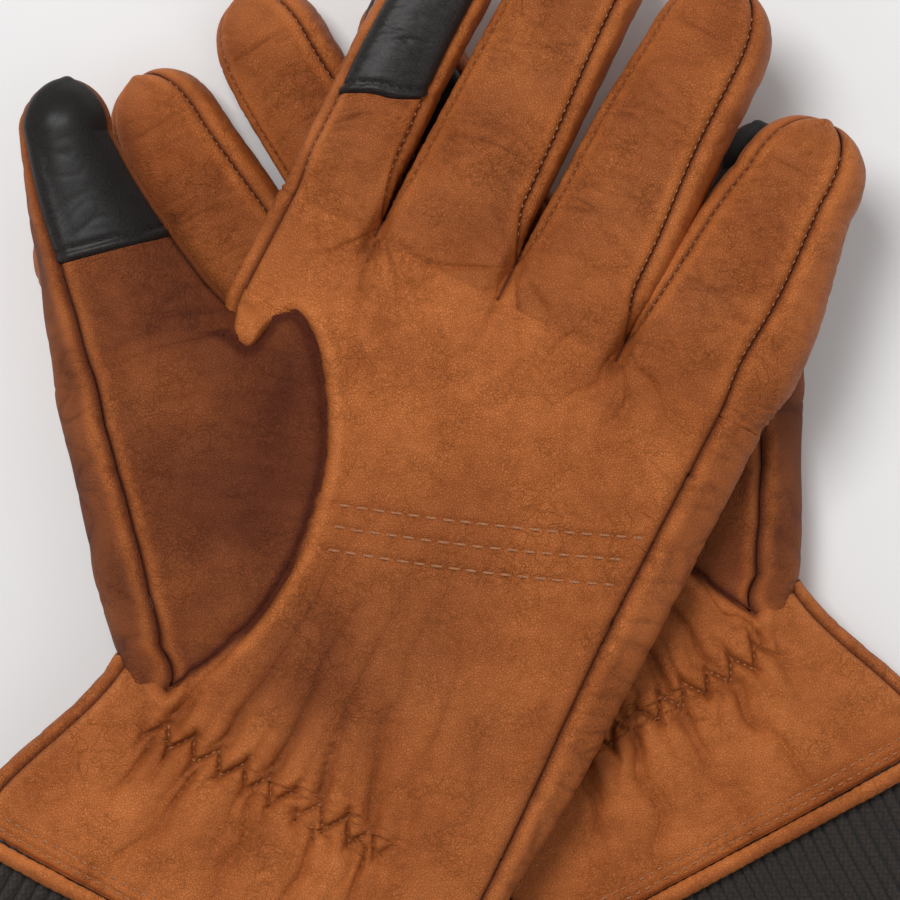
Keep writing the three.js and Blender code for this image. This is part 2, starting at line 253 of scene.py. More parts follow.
@dataclass
class Sheet:
    """A rectangular grid of points that becomes one side of a piece.

    Attributes:
        points: (rows, columns, 3) in the hand frame, facing out where columns turn to rows.
        relief: How dark (-1: painted shade in hollows, seams and creases, or darker leather) or worn proud
            (1) each point is.
        along: The v that places each point on the lay, or None.
        normals: Outward directions.
    """

    points: Array
    relief: Array | None = None
    along: Array | None = None
    normals: Array | None = None

    def __post_init__(self) -> None:
        """Fills in what was not given."""
        if self.relief is None:
            self.relief = np.zeros(self.points.shape[:2])
        if self.normals is None:
            self.face_out()

    def face_out(self) -> None:
        """Works out the outward directions again."""
        across = np.gradient(self.points, axis=1)
        along = np.gradient(self.points, axis=0)
        n = np.cross(across, along)
        size = np.linalg.norm(n, axis=-1, keepdims=True)
        flat = size[..., 0] < 1e-9
        n = n / np.maximum(size, 1e-9)
        if flat.any() and not flat.all():
            n[flat] = n[~flat][-1]
        self.normals = n

    def press(self, amount: Array) -> "Sheet":
        """Moves the sheet along its outward direction."""
        self.points = self.points + self.normals * amount[..., None]
        self.face_out()
        return self

    def crop(self, rows: slice, columns: slice = slice(None)) -> "Sheet":
        """A part of the sheet with its directions kept."""
        part = (rows, columns)
        along = None if self.along is None else self.along[part]
        return Sheet(self.points[part], self.relief[part], along, self.normals[part])


def even_columns(dense: Array, count: int) -> tuple[Array, Array]:
    """Spaces the columns of a grid evenly along each row.

    Args:
        dense: (rows, many, 3) points.
        count: How many columns to keep.

    Returns:
        The new grid and each of its points' distance along its row.
    """
    step = np.linalg.norm(np.diff(dense, axis=1), axis=-1)
    run = np.concatenate([np.zeros((len(dense), 1)), np.cumsum(step, axis=1)], 1)
    out = np.empty((len(dense), count, 3))
    at = run[:, -1:] * np.linspace(0, 1, count)[None]
    for r in range(len(dense)):
        for c in range(3):
            out[r, :, c] = np.interp(at[r], run[r], dense[r, :, c])
    return out, at


def calmed(normals: Array, passes: int = 8) -> Array:
    """Directions averaged with their neighbours', so that an inner face passes below narrow folds."""
    for _ in range(passes):
        wide = np.pad(normals, ((1, 1), (1, 1), (0, 0)), mode="edge")
        normals = (wide[:-2, 1:-1] + wide[2:, 1:-1] + wide[1:-1, :-2] + wide[1:-1, 2:] + normals) / 5
    return normals / np.maximum(np.linalg.norm(normals, axis=-1, keepdims=True), 1e-9)


def seam_roll(distance: Array, depth: float = 1.3, puff: float = 0.35) -> Array:
    """How leather turns down into a seam and puffs up beside it."""
    return -depth * np.exp(-np.maximum(distance, 0) / 0.75) + puff * hump(distance - 2.6, 1.7)


def seam_shade(edge: Array, lit: float = 0.4, away: float = 2.2, width: float = 1.4) -> Array:
    """Painted shade in a seam's hollow, and how worn the puff beside it is."""
    return -np.exp(-edge / 0.5) + lit * hump(edge - away, width)


def from_edges(run: Array) -> Array:
    """Distance of each point of a grid from the nearer end of its row."""
    return np.minimum(run, run[:, -1:] - run)


class MeshMaker:
    """Collects closed shells and makes one object of them."""

    def __init__(self, lay: Lay) -> None:
        """Starts an empty mesh for one glove."""
        self.lay = lay
        self.points: list[Array] = []
        self.normals: list[Array] = []
        self.relief: list[Array] = []
        self.faces: list[tuple[int, ...]] = []
        self.count = 0

    def _add(self, points: Array, normals: Array, relief: Array) -> int:
        """Adds points and returns the number of the first."""
        start = self.count
        self.points.append(points.reshape(-1, 3))
        self.normals.append(normals.reshape(-1, 3))
        self.relief.append(relief.reshape(-1))
        self.count += points.reshape(-1, 3).shape[0]
        return start

    def _faces(self, quads: Array) -> None:
        """Adds four-sided faces, turned over for the mirrored hand."""
        order = quads if self.lay.hand > 0 else quads[:, ::-1]
        self.faces.extend(map(tuple, order.tolist()))

    def shell(self, sheet: Sheet, thickness: float = LEATHER, step: int = 4) -> None:
        """Adds a sheet as a closed shell with a coarser inner face.

        Args:
            sheet: The outer face.
            thickness: How far the inner face lies below it.
            step: How many outer cells one inner cell spans.
        """
        rows, cols = sheet.points.shape[:2]
        outer, normals = self.lay.place_facing(sheet.points, sheet.normals, sheet.along)
        first = self._add(outer, normals, sheet.relief)
        index = first + np.arange(rows * cols).reshape(rows, cols)
        quads = np.stack([index[:-1, :-1], index[:-1, 1:], index[1:, 1:], index[1:, :-1]], -1)
        self._faces(quads.reshape(-1, 4))
        keep_r = sorted(set(range(0, rows, step)) | {rows - 1})
        keep_c = sorted(set(range(0, cols, step)) | {cols - 1})
        pick = np.ix_(keep_r, keep_c)
        inner_points = outer[pick] - calmed(normals)[pick] * thickness * self.lay.scale / 1000.0
        under = self._add(inner_points, -normals[pick], sheet.relief[pick] * 0 - 0.4)
        inner = under + np.arange(len(keep_r) * len(keep_c)).reshape(len(keep_r), len(keep_c))
        quads = np.stack([inner[:-1, :-1], inner[1:, :-1], inner[1:, 1:], inner[:-1, 1:]], -1)
        self._faces(quads.reshape(-1, 4))
        self._rim(index[0], inner[0], keep_c, False)
        self._rim(index[-1], inner[-1], keep_c, True)
        self._rim(index[:, 0], inner[:, 0], keep_r, True)
        self._rim(index[:, -1], inner[:, -1], keep_r, False)

    def _rim(self, fine: Array, coarse: Array, keep: list[int], turn: bool) -> None:
        """Closes one edge of a shell, where one inner side meets several outer ones."""
        flip = turn != (self.lay.hand < 0)
        for k in range(len(keep) - 1):
            outer = fine[keep[k]:keep[k + 1] + 1][::-1].tolist()
            face = outer + [int(coarse[k]), int(coarse[k + 1])]
            self.faces.append(tuple(face[::-1] if flip else face))

    def solid(self, points: Array, normals: Array, quads: Array) -> None:
        """Adds a ready closed solid, given in the hand frame and already placed."""
        first = self._add(points, normals, np.zeros(points.reshape(-1, 3).shape[0]))
        self.faces.extend(map(tuple, (quads + first).tolist()))

    def finish(self, name: str, finish: "Material") -> bpy.types.Object:
        """Makes the object.

        Args:
            name: The piece's name.
            finish: Its material.

        Returns:
            The new object, in metres.
        """
        points = np.concatenate(self.points)
        mesh = bpy.data.meshes.new(name)
        mesh.from_pydata(points.tolist(), [], self.faces)
        mesh.attributes.new("relief", "FLOAT", "POINT").data.foreach_set(
            "value", np.concatenate(self.relief).astype(np.float32))
        mesh.validate()
        mesh.polygons.foreach_set("use_smooth", [True] * len(mesh.polygons))
        if len(mesh.vertices) == len(points):
            mesh.normals_split_custom_set_from_vertices(np.concatenate(self.normals).tolist())
        piece = bpy.data.objects.new(name, mesh)
        bpy.context.scene.collection.objects.link(piece)
        mesh.materials.append(finish.material)
        LOG.info("%s: %d points", name, len(points))
        return piece


# ---- finishes ----


@dataclass
class Material:
    """A Blender material and the record slot that it stands for."""

    slot: Finish
    material: bpy.types.Material


class NodeKit:
    """Short calls for putting shader nodes together."""

    def __init__(self, tree: bpy.types.NodeTree) -> None:
        """Works on one node tree."""
        self.tree = tree

    def new(self, kind: str, settings: dict[str, object] | None = None, **inputs: object) -> bpy.types.Node:
        """Adds a node.

        Args:
            kind: The node's type name.
            settings: Properties of the node itself.
            **inputs: Socket values or the sockets that feed them, with _ for a space.

        Returns:
            The node.
        """
        node = self.tree.nodes.new(kind)
        for key, value in (settings or {}).items():
            setattr(node, key, value)
        for key, value in inputs.items():
            self.feed(node.inputs[key.replace("_", " ")], value)
        return node

    def feed(self, socket: bpy.types.NodeSocket, value: object) -> None:
        """Sets a socket, or links it to another."""
        if isinstance(value, bpy.types.NodeSocket):
            self.tree.links.new(value, socket)
        else:
            socket.default_value = value

    def math(self, operation: str, a: object, b: object = 0.0, clamp: bool = False) -> bpy.types.NodeSocket:
        """An operation on two numbers, held to 0..1 if clamped."""
        node = self.new("ShaderNodeMath", {"operation": operation, "use_clamp": clamp})
        self.feed(node.inputs[0], a)
        self.feed(node.inputs[1], b)
        return node.outputs[0]

    def add(self, a: object, b: object, clamp: bool = False) -> bpy.types.NodeSocket:
        """The sum of two numbers, held to 0..1 if clamped."""
        return self.math("ADD", a, b, clamp)

    def times(self, a: object, b: object) -> bpy.types.NodeSocket:
        """The product of two numbers."""
        return self.math("MULTIPLY", a, b)

    def blend(self, factor: object, a: object, b: object) -> bpy.types.NodeSocket:
        """One colour laid over another."""
        node = self.new("ShaderNodeMix", {"data_type": "RGBA"})
        self.feed(node.inputs[0], factor)
        self.feed(node.inputs[6], a)
        self.feed(node.inputs[7], b)
        return node.outputs[2]

    def range(self, value: object, low: float, high: float) -> bpy.types.NodeSocket:
        """Stretches low..high to 0..1, held at the ends."""
        node = self.new("ShaderNodeMapRange")
        self.feed(node.inputs[0], value)
        node.inputs[1].default_value = low
        node.inputs[2].default_value = high
        return node.outputs[0]


def group_with(name: str, inputs: dict[str, str], outputs: dict[str, str]) -> tuple:
    """Starts a node group with named sockets.

    Args:
        name: The group's name.
        inputs: Socket names and types that it takes.
        outputs: Socket names and types that it gives.

    Returns:
        The group, its kit, its input node and its output node.
    """
    tree = bpy.data.node_groups.new(name, "ShaderNodeTree")
    for label, kind in inputs.items():
        tree.interface.new_socket(label, in_out="INPUT", socket_type=kind)
    for label, kind in outputs.items():
        tree.interface.new_socket(label, in_out="OUTPUT", socket_type=kind)
    kit = NodeKit(tree)
    return tree, kit, kit.new("NodeGroupInput"), kit.new("NodeGroupOutput")


def leather_skin_group() -> bpy.types.NodeTree:
    """Grain, pull-up colour, wear on the ridges and painted shade in the hollows of glove leather."""
    colour, number, vector = "NodeSocketColor", "NodeSocketFloat", "NodeSocketVector"
    tree, kit, given, out = group_with(
        "leather_skin",
        {"Place": vector, "Relief": number, "Base": colour, "Worn": colour, "Deep": colour, "Grain": number},
        {"Colour": colour, "Roughness": number, "Height": number},
    )
    place, relief = given.outputs["Place"], given.outputs["Relief"]
    warp = kit.new("ShaderNodeTexNoise", Vector=place, Scale=0.35, Detail=2.0)
    bent = kit.new("ShaderNodeVectorMath", {"operation": "MULTIPLY_ADD"})
    kit.feed(bent.inputs[0], warp.outputs["Color"])
    bent.inputs[1].default_value = (1.2, 1.2, 1.2)
    kit.feed(bent.inputs[2], place)
    cells = kit.new("ShaderNodeTexVoronoi", {"feature": "DISTANCE_TO_EDGE"}, Vector=bent.outputs[0])
    kit.feed(cells.inputs["Scale"], given.outputs["Grain"])
    creased = kit.range(cells.outputs["Distance"], 0.0, 0.16)
    fine = kit.new("ShaderNodeTexNoise", Vector=place, Scale=3.6, Detail=4.0, Roughness=0.6)
    broad = kit.new("ShaderNodeTexNoise", Vector=place, Scale=0.045, Detail=3.0, Roughness=0.55)
    patch = kit.new("ShaderNodeTexNoise", Vector=place, Scale=0.22, Detail=4.0, Roughness=0.62)
    scuff = kit.new("ShaderNodeTexNoise", Vector=place, Scale=0.9, Detail=5.0, Roughness=0.7)
    tone = kit.add(kit.times(broad.outputs[0], 0.72), kit.times(patch.outputs[0], 0.28))
    lighter = kit.range(tone, 0.40, 0.62)
    proud = kit.range(relief, 0.0, 1.0)
    hollow = kit.range(relief, 0.0, -1.0)
    worn = kit.times(lighter, 0.42)
    edge_wear = kit.add(0.4, kit.times(kit.range(scuff.outputs[0], 0.3, 0.65), 0.6))
    worn = kit.add(worn, kit.times(proud, edge_wear), True)
    base = kit.blend(worn, given.outputs["Base"], given.outputs["Worn"])
    darker = kit.times(kit.range(tone, 0.50, 0.34), 0.18)
    # Painted shade: hollows (negative relief) are mixed towards the dark colour, along with the random
    # darker tone.
    base = kit.blend(kit.math("MAXIMUM", darker, hollow), base, given.outputs["Deep"])
    speck = kit.times(kit.math("SUBTRACT", 1.0, creased), 0.22)
    base = kit.blend(speck, base, given.outputs["Deep"])
    rough = kit.add(0.42, kit.times(fine.outputs[0], 0.22))
    rough = kit.add(rough, kit.times(hollow, 0.2))
    kit.feed(out.inputs["Roughness"], rough)
    height = kit.add(kit.times(creased, 0.45), kit.times(fine.outputs[0], 0.5))
    height = kit.add(height, kit.times(scuff.outputs[0], 0.5))
    for size, deep in ((0.26, 0.9), (0.62, 0.6)):
        line = kit.new("ShaderNodeTexNoise", Vector=bent.outputs[0], Scale=size, Detail=3.0,
                       Roughness=0.65, Distortion=0.6)
        gap = kit.math("ABSOLUTE", kit.math("SUBTRACT", line.outputs[0], 0.5))
        here = kit.new("ShaderNodeTexNoise", Vector=place, Scale=size * 0.22, Detail=1.0)
        fold = kit.times(kit.range(gap, 0.035, 0.0), kit.range(here.outputs[0], 0.40, 0.66))
        height = kit.math("SUBTRACT", height, kit.times(fold, deep))
    kit.feed(out.inputs["Colour"], base)
    kit.feed(out.inputs["Height"], height)
    return tree


def knit_loops_group() -> bpy.types.NodeTree:
    """Rows of small loops, fuzz and uneven yarn colour, with painted shade between the loops and in hollows.
    """
    colour, number, vector = "NodeSocketColor", "NodeSocketFloat", "NodeSocketVector"
    tree, kit, given, out = group_with(
        "knit_loops",
        {"Place": vector, "Relief": number, "Yarn": colour, "Shadow": colour, "Loop": number},
        {"Colour": colour, "Roughness": number, "Height": number},
    )
    place = given.outputs["Place"]
    loops = kit.new("ShaderNodeTexVoronoi", {"feature": "F1"}, Vector=place, Randomness=0.35)
    kit.feed(loops.inputs["Scale"], given.outputs["Loop"])
    fuzz = kit.new("ShaderNodeTexNoise", Vector=place, Scale=4.5, Detail=5.0, Roughness=0.7)
    height = kit.math("SUBTRACT", kit.times(fuzz.outputs[0], 0.7), loops.outputs["Distance"])
    between = kit.range(loops.outputs["Distance"], 0.25, 0.75)
    # Painted shade: darker between the loops and where the relief is hollow.
    dark = kit.add(between, kit.range(given.outputs["Relief"], 0, -1), True)
    kit.feed(out.inputs["Colour"], kit.blend(dark, given.outputs["Yarn"], given.outputs["Shadow"]))
    kit.feed(out.inputs["Roughness"], kit.add(0.8, kit.times(fuzz.outputs[0], 0.2)))
    kit.feed(out.inputs["Height"], height)
    return tree


@dataclass(frozen=True)
class LeatherFinish:
    """Glove leather.

    Attributes:
        slot: The record's slot.
        base: Its usual colour.
        worn: Its colour on ridges and where it is pulled.
        deep: Its colour in pores and in darker leather, and the painted shade of hollows, seams and creases.
        grain: Grain cells to the millimetre.
        bump: Height of the grain in metres.
        sheen: Strength of the soft nap.
        coat: Strength of the dressing's gloss.
    """

    slot: Finish
    base: tuple[float, float, float, float]
    worn: tuple[float, float, float, float]
    deep: tuple[float, float, float, float]
    grain: float
    bump: float
    sheen: float
    coat: float

    def make(self, skin: bpy.types.NodeTree) -> Material:
        """Makes the material from the shared leather group."""
        material, kit, place, relief, shader = start_material(self.slot.value)
        group = kit.new("ShaderNodeGroup", {"node_tree": skin}, Place=place, Relief=relief)
        for label in ("Base", "Worn", "Deep", "Grain"):
            group.inputs[label].default_value = getattr(self, label.lower())
        finish_material(kit, shader, group, self.bump)
        shader.inputs["Sheen Weight"].default_value = self.sheen
        shader.inputs["Sheen Roughness"].default_value = 0.5
        shader.inputs["Sheen Tint"].default_value = self.worn
        shader.inputs["Coat Weight"].default_value = self.coat
        shader.inputs["Coat Roughness"].default_value = 0.35
        shader.inputs["Specular IOR Level"].default_value = 0.26
        return Material(self.slot, material)


@dataclass(frozen=True)
class KnitFinish:
    """Knitted or spun yarn.

    Attributes:
        slot: The record's slot.
        yarn: Its colour on top.
        shadow: Its colour between the loops.
        loop: Loops to the millimetre.
        bump: Height of the loops in metres.
    """

    slot: Finish
    yarn: tuple[float, float, float, float]
    shadow: tuple[float, float, float, float]
    loop: float
    bump: float

    def make(self, loops: bpy.types.NodeTree) -> Material:
        """Makes the material from the shared knit group."""
        material, kit, place, relief, shader = start_material(self.slot.value)
        group = kit.new("ShaderNodeGroup", {"node_tree": loops}, Place=place, Relief=relief)
        for label in ("Yarn", "Shadow", "Loop"):
            group.inputs[label].default_value = getattr(self, label.lower())
        finish_material(kit, shader, group, self.bump)
        shader.inputs["Sheen Weight"].default_value = 0.08
        shader.inputs["Sheen Roughness"].default_value = 0.6
        return Material(self.slot, material)


def start_material(name: str) -> tuple:
    """Starts a material measured in millimetres.

    Args:
        name: The material's name.

    Returns:
        The material, its kit, the place and relief sockets and its shader.
    """
    material = bpy.data.materials.new(f"{name}_finish")
    material.use_nodes = True
    kit = NodeKit(material.node_tree)
    shader = material.node_tree.nodes["Principled BSDF"]
    place = kit.new("ShaderNodeTexCoord").outputs["Object"]
    scaled = kit.new("ShaderNodeMapping", Vector=place)
    scaled.inputs["Scale"].default_value = (1000, 1000, 1000)
    relief = kit.new("ShaderNodeAttribute", {"attribute_name": "relief"}).outputs["Fac"]
    return material, kit, scaled.outputs[0], relief, shader


def finish_material(kit: NodeKit, shader: bpy.types.Node, group: bpy.types.Node, height: float) -> None:
    """Feeds a group's colour, roughness and height to the shader."""
    kit.feed(shader.inputs["Base Color"], group.outputs["Colour"])
    kit.feed(shader.inputs["Roughness"], group.outputs["Roughness"])
    bump = kit.new("ShaderNodeBump", Height=group.outputs["Height"], Distance=height, Strength=1.0)
    kit.feed(shader.inputs["Normal"], bump.outputs[0])


class Finishes:
    """Every material of the pair, by its slot."""

    def __init__(self) -> None:
        """Makes the two shared groups and the six materials."""
        skin, loops = leather_skin_group(), knit_loops_group()
        tan = LeatherFinish(
            Finish.TAN, base=(0.40, 0.104, 0.0185, 1), worn=(0.66, 0.205, 0.050, 1),
            deep=(0.085, 0.014, 0.0025, 1), grain=1.8, bump=0.0002, sheen=0.03, coat=0.0)
        touch = LeatherFinish(
            Finish.TOUCH, base=(0.007, 0.0042, 0.0034, 1), worn=(0.020, 0.013, 0.010, 1),
            deep=(0.002, 0.0014, 0.001, 1), grain=1.3, bump=0.00014, sheen=0.0, coat=0.2)
        made = [tan.make(skin), touch.make(skin)]
        for knit in (
            KnitFinish(Finish.LINING, (0.20, 0.16, 0.12, 1), (0.06, 0.045, 0.035, 1), 0.8, 0.0004),
            KnitFinish(Finish.CUFF, (0.036, 0.022, 0.015, 1), (0.007, 0.004, 0.003, 1), 1.1, 0.0005),
            KnitFinish(Finish.ELASTIC, (0.62, 0.55, 0.44, 1), (0.30, 0.25, 0.18, 1), 1.6, 0.0002),
            KnitFinish(Finish.THREAD, (0.50, 0.21, 0.082, 1), (0.22, 0.07, 0.024, 1), 3.0, 0.0001),
        ):
            made.append(knit.make(loops))
        self.by_slot = {m.slot: m for m in made}

    def __getitem__(self, slot: Finish) -> Material:
        """The material of a slot."""
        return self.by_slot[slot]


# ---- stitches ----


class Stitcher:
    """Sews rows of small stitches of real thread on sheets."""

    RINGS = 7
    SIDES = 6

    def __init__(self, lay: Lay, maker: MeshMaker, thickness: float = 0.42) -> None:
        """Sews into a mesh maker with thread of one thickness."""
        self.lay = lay
        self.maker = maker
        self.radius = thickness / 2

    def stitch(self, start: Array, end: Array, up: Array, along: float | None = None) -> None:
        """Sews one stitch.

        Args:
            start: Where it comes out of the leather.
            end: Where it goes back in.
            up: Outward direction there.
            along: The v that places it on the lay, or None.
        """
        t = np.linspace(0, 1, self.RINGS)
        lift = self.radius * (2.6 * np.sin(np.pi * t) - 1.3)
        centre = start + (end - start) * t[:, None] + up * lift[:, None]
        side = np.cross(end - start, up)
        side /= max(np.linalg.norm(side), 1e-9)
        width = self.radius * np.maximum(np.sin(np.pi * np.clip(t, 0.03, 0.97)), 0.1) ** 0.35
        angle = np.linspace(0, 2 * np.pi, self.SIDES, endpoint=False)
        ring = side * np.cos(angle)[:, None] + up * np.sin(angle)[:, None]
        points = centre[:, None] + ring[None] * width[:, None, None]
        normals = np.broadcast_to(ring[None], points.shape)
        level = None if along is None else np.full(points.shape[:2], along)
        placed, out = self.lay.place_facing(points, normals, level)
        n, s = self.RINGS, self.SIDES
        index = np.arange(n * s).reshape(n, s)
        following = np.roll(index, -1, axis=1)
        quads = np.stack([index[:-1], index[1:], following[1:], following[:-1]], -1).reshape(-1, 4)
        if self.lay.hand < 0:
            quads = quads[:, ::-1]
        self.maker.solid(placed, out, quads)
        for cap in (index[0], index[-1][::-1]):
            face = tuple(int(i) + self.maker.count - n * s for i in cap)
            self.maker.faces.append(face if self.lay.hand > 0 else face[::-1])

    def row(self, points: Array, normals: Array, pitch: float, fill: float,
            along: Array | None = None) -> None:
        """Sews a row of stitches along a line on the leather.

        Args:
            points: The line's points, close together.
            normals: Outward directions at them.
            pitch: From one stitch to the next.
            fill: How much of the pitch each stitch spans.
            along: The v that places each point on the lay, or None.
        """
        run = run_along(points)
        half = fill * pitch / 2
        for k in range(int(run[-1] / pitch)):
            at = (k + 0.5) * pitch
            up = read_line(normals, run, at)
            up /= max(np.linalg.norm(up), 1e-9)
            level = None if along is None else float(np.interp(at, run, along))
            start, end = read_line(points, run, at - half), read_line(points, run, at + half)
            self.stitch(start, end, up, level)


# ---- the pattern of one hand ----


@dataclass(frozen=True)
class FingerPattern:
    """Sizes of one finger.

    Attributes:
        name: The finger.
        centre: Where its middle line lies across the hand.
        base: Half its width at the palm.
        tip: Half its width before its rounded end.
        end: How far it reaches.
        dome: Length of its rounded end.
        patch: Length of its touchscreen patch, or 0.
        far: Angle of its far front seam at the palm and at the tip, in degrees.
        roots: The crotches on its near and far side, as (u, v).
    """

    name: str
    centre: float
    base: float
    tip: float
    end: float
    dome: float
    patch: float
    far: tuple[float, float]
    roots: tuple[tuple[float, float] | None, tuple[float, float] | None]


CROTCHES = ((-33.2, 33.6), (-5.4, 38.8), (21.4, 34.7))
FINGERS = (
    FingerPattern("index", -44.7, 10.4, 10.2, 97.5, 15, 41, (38, 50), (None, CROTCHES[0])),
    FingerPattern("middle", -19.8, 13.4, 12.4, 113.5, 17, 0, (38, 55), (CROTCHES[0], CROTCHES[1])),
    FingerPattern("ring", 8.9, 14.4, 12.4, 110, 17, 0, (54, 62), (CROTCHES[1], CROTCHES[2])),
    FingerPattern("little", 38.0, 18.6, 13.0, 94, 16, 0, (79, 70), (CROTCHES[2], None)),
)


@dataclass
class HandPattern:
    """Outline and relief of the hand itself, with no fingers.

    Attributes:
        seed: Start of its wrinkles.
        thumb_seam: Curve of the seam that sets the thumb into the palm, from foot to crotch.
        palm_rows: Ends of the three stitched rows across the palm.
        pleat: Width of one gather at the wrist.
        first_pleat: Where the first gather begins.
        pleat_fall: Share of a gather in which its stitch runs down towards the cuff.
        pleat_rise: How far the gathering stitch runs above and below the wrist.
        seam_path: The thumb's seam, finely drawn.
    """

    seed: int
    thumb_seam: tuple[tuple[float, float], ...] = (
        (-28.5, -68.8), (-22.8, -58), (-18.7, -45.7), (-17.9, -30.6), (-20.9, -15.3), (-25.9, -4.4),
        (-31.7, 3.9), (-36.2, 8.2), (-40.5, 9.6), (-43.3, 6.6), (-44.7, -0.7), (-49, -0.4), (-55, 0.6))
    pleat: float = 5.8
    first_pleat: float = -25.0
    pleat_fall: float = 0.42
    pleat_rise: float = 2.2
    palm_rows: tuple[tuple[tuple[float, float], tuple[float, float]], ...] = (
        ((-20, -21.8), (44.3, 2.9)), ((-18.9, -26.1), (44.4, -2.1)), ((-17.9, -30.7), (44.4, -7.8)))
    seam_path: Array = field(init=False)

    def __post_init__(self) -> None:
        """Draws the seam finely and starts the noise."""
        self.seam_path = spline(self.thumb_seam, np.linspace(0, len(self.thumb_seam) - 1, 90))
        self.noise = Noise(self.seed)
        self.wrinkle = Noise(self.seed + 1)

    def inner(self, v: Array) -> Array:
        """Thumb-side outline, as if there were no thumb."""
        cuff = -mix(53.5, 41.0, smooth((np.minimum(v, -66) - HEM) / 46))
        return mix(cuff, -54.8, smooth((v + 24) / 34))

    def outer(self, v: Array) -> Array:
        """Little-finger-side outline."""
        return mix(54.0, 54.6, smooth((v - WRIST) / 40)) - 1.6 * hump(v - WRIST, 16)

    def far_seam(self, v: Array) -> Array:
        """The seam along the little-finger side of the palm."""
        return 45.2 + 2.6 * smooth((-10 - v) / 70)

    def set_in(self, v: Array) -> Array:
        """Thumb-side edge of the palm below the top of the thumb's seam."""
        rising = self.seam_path[: int(np.argmax(self.seam_path[:, 1])) + 1]
        return np.interp(v, rising[:, 1], rising[:, 0])

    def tongue_edge(self, v: Array) -> Array:
        """Edge of the small tongue between the thumb's seam and the crotch."""
        top = int(np.argmax(self.seam_path[:, 1]))
        falling = self.seam_path[top: top + 24][::-1]
        falling = falling[falling[:, 0] > -45.2]
        return np.interp(v, falling[:, 1], falling[:, 0])

    def across(self, u: Array, v: Array) -> Array:
        """How far a point is from the middle of the hand, -1 to 1 at the outlines."""
        inner, outer = self.inner(v), self.outer(v)
        return np.clip((u - (inner + outer) / 2) / ((outer - inner) / 2), -0.9995, 0.9995)

    def angle(self, u: Array, v: Array) -> Array:
        """The angle round the hand's section at u."""
        x = self.across(u, v)
        return np.arccos(signed_power(x, 1.5))

    def at_angle(self, angle: Array, v: Array, side: Side) -> Array:
        """A point of the hand's section."""
        inner, outer = self.inner(v), self.outer(v)
        x = signed_power(np.cos(angle), 2 / 3)
        u = (inner + outer) / 2 + x * (outer - inner) / 2
        height = DEPTH * np.abs(np.sin(angle)) ** 0.91
        sign = np.sign(np.sin(angle))
        relief = self.relief(u, v, side) * (1 - np.abs(x) ** 10)
        return np.stack([u, v + 0 * u, sign * (height + relief)], -1)

    def face(self, u: Array, v: Array, side: Side = Side.PALM) -> Array:
        """Height of the hand's face at (u, v)."""
        x = self.across(u, v)
        height = DEPTH * (1 - np.abs(x) ** 3) ** (1 / 2.2)
        return side.value * (height + self.relief(u, v, side) * (1 - np.abs(x) ** 10))

    def relief(self, u: Array, v: Array, side: Side) -> Array:
        """How much the leather stands above the plain section.

        Args:
            u: Place across the hand.
            v: Place along the hand.
            side: Palm or back.

        Returns:
            Height in millimetres.
        """
        n, w = self.noise, self.wrinkle
        soft = 0.55 * n.at(u / 26, v / 26) + 0.35 * n.at(u / 11 + 9, v / 12)
        fine = 0.34 * w.creases(u / 9, v / 4.2) + 0.18 * w.creases(u / 4 + 8, v / 2.1 + 3)
        out = soft + fine * (0.6 + 0.4 * n.at(u / 20 + 3, v / 20))
        out += self.gathers(u, v)
        if side is Side.PALM:
            out += self.pulls(u, v) + self.hollow(u, v)
        return out + self.hem_rows(v)

    def zigzag(self, u: Array) -> Array:
        """Where the gathering stitch runs at u."""
        turn = np.mod((u - self.first_pleat) / self.pleat, 1.0)
        down, up = self.pleat_fall, 1 - self.pleat_fall
        height = np.where(turn < down, 1 - turn / down, (turn - down) / up)
        return WRIST - self.pleat_rise + 2 * self.pleat_rise * height

    def gathers(self, u: Array, v: Array) -> Array:
        """Pleats above and below the gathered wrist."""
        n = self.noise
        near = smooth((u + 34) / 9) * smooth((31 - u) / 10)
        away = v - self.zigzag(u)
        drift = u + 1.9 * n.at(u / 12, v / 8) * smooth(np.abs(away) / 5) + 0.012 * away * (u + 2)
        down = away <= 0
        fold = drift - self.first_pleat - self.pleat_fall * self.pleat * down
        tight = 1 - 1.75 * np.exp(-2.6 * np.abs(np.sin(np.pi * fold / self.pleat)))
        bay = np.pi * (drift + 2 * n.at(u / 17, v / 26 + 4)) / (2 * self.pleat) + 0.8
        wide = 1 - 1.8 * np.exp(-2.2 * np.abs(np.sin(bay)))
        close = np.exp(-np.abs(away) / np.where(down, 8.0, 6.5)) * smooth(np.abs(away) / 1.1)
        far = np.exp(-np.abs(away) / np.where(down, 28.0, 20.0)) * smooth(np.abs(away) / 4)
        pinch = -0.6 * hump(away, 0.8) - 1.1 * hump(away, 9)
        return near * (1.5 * tight * close + 2.2 * wide * far + pinch)

    def pulls(self, u: Array, v: Array) -> Array:
        """Pits at the crotches and the creases that fan from them."""
        out = np.zeros(np.broadcast(u, v).shape)
        for k, (cu, cv) in enumerate(CROTCHES):
            width = 1.5 + 0.10 * np.maximum(cv - v, 0)
            out += -5.2 * hump(u - cu, width) * smooth((v - (cv - 11)) / 11)
            reach = np.hypot(u - cu, v - cv)
            turn = np.arctan2(u - cu, cv - v)
            fan = np.abs(np.sin(4.5 * turn + 1.6 * self.noise.at(reach / 9 + 3 * k, turn) + k))
            out += -1.1 * np.exp(-6.0 * fan) * hump(reach - 8, 9.5) * smooth((cv + 4 - v) / 8)
        return out

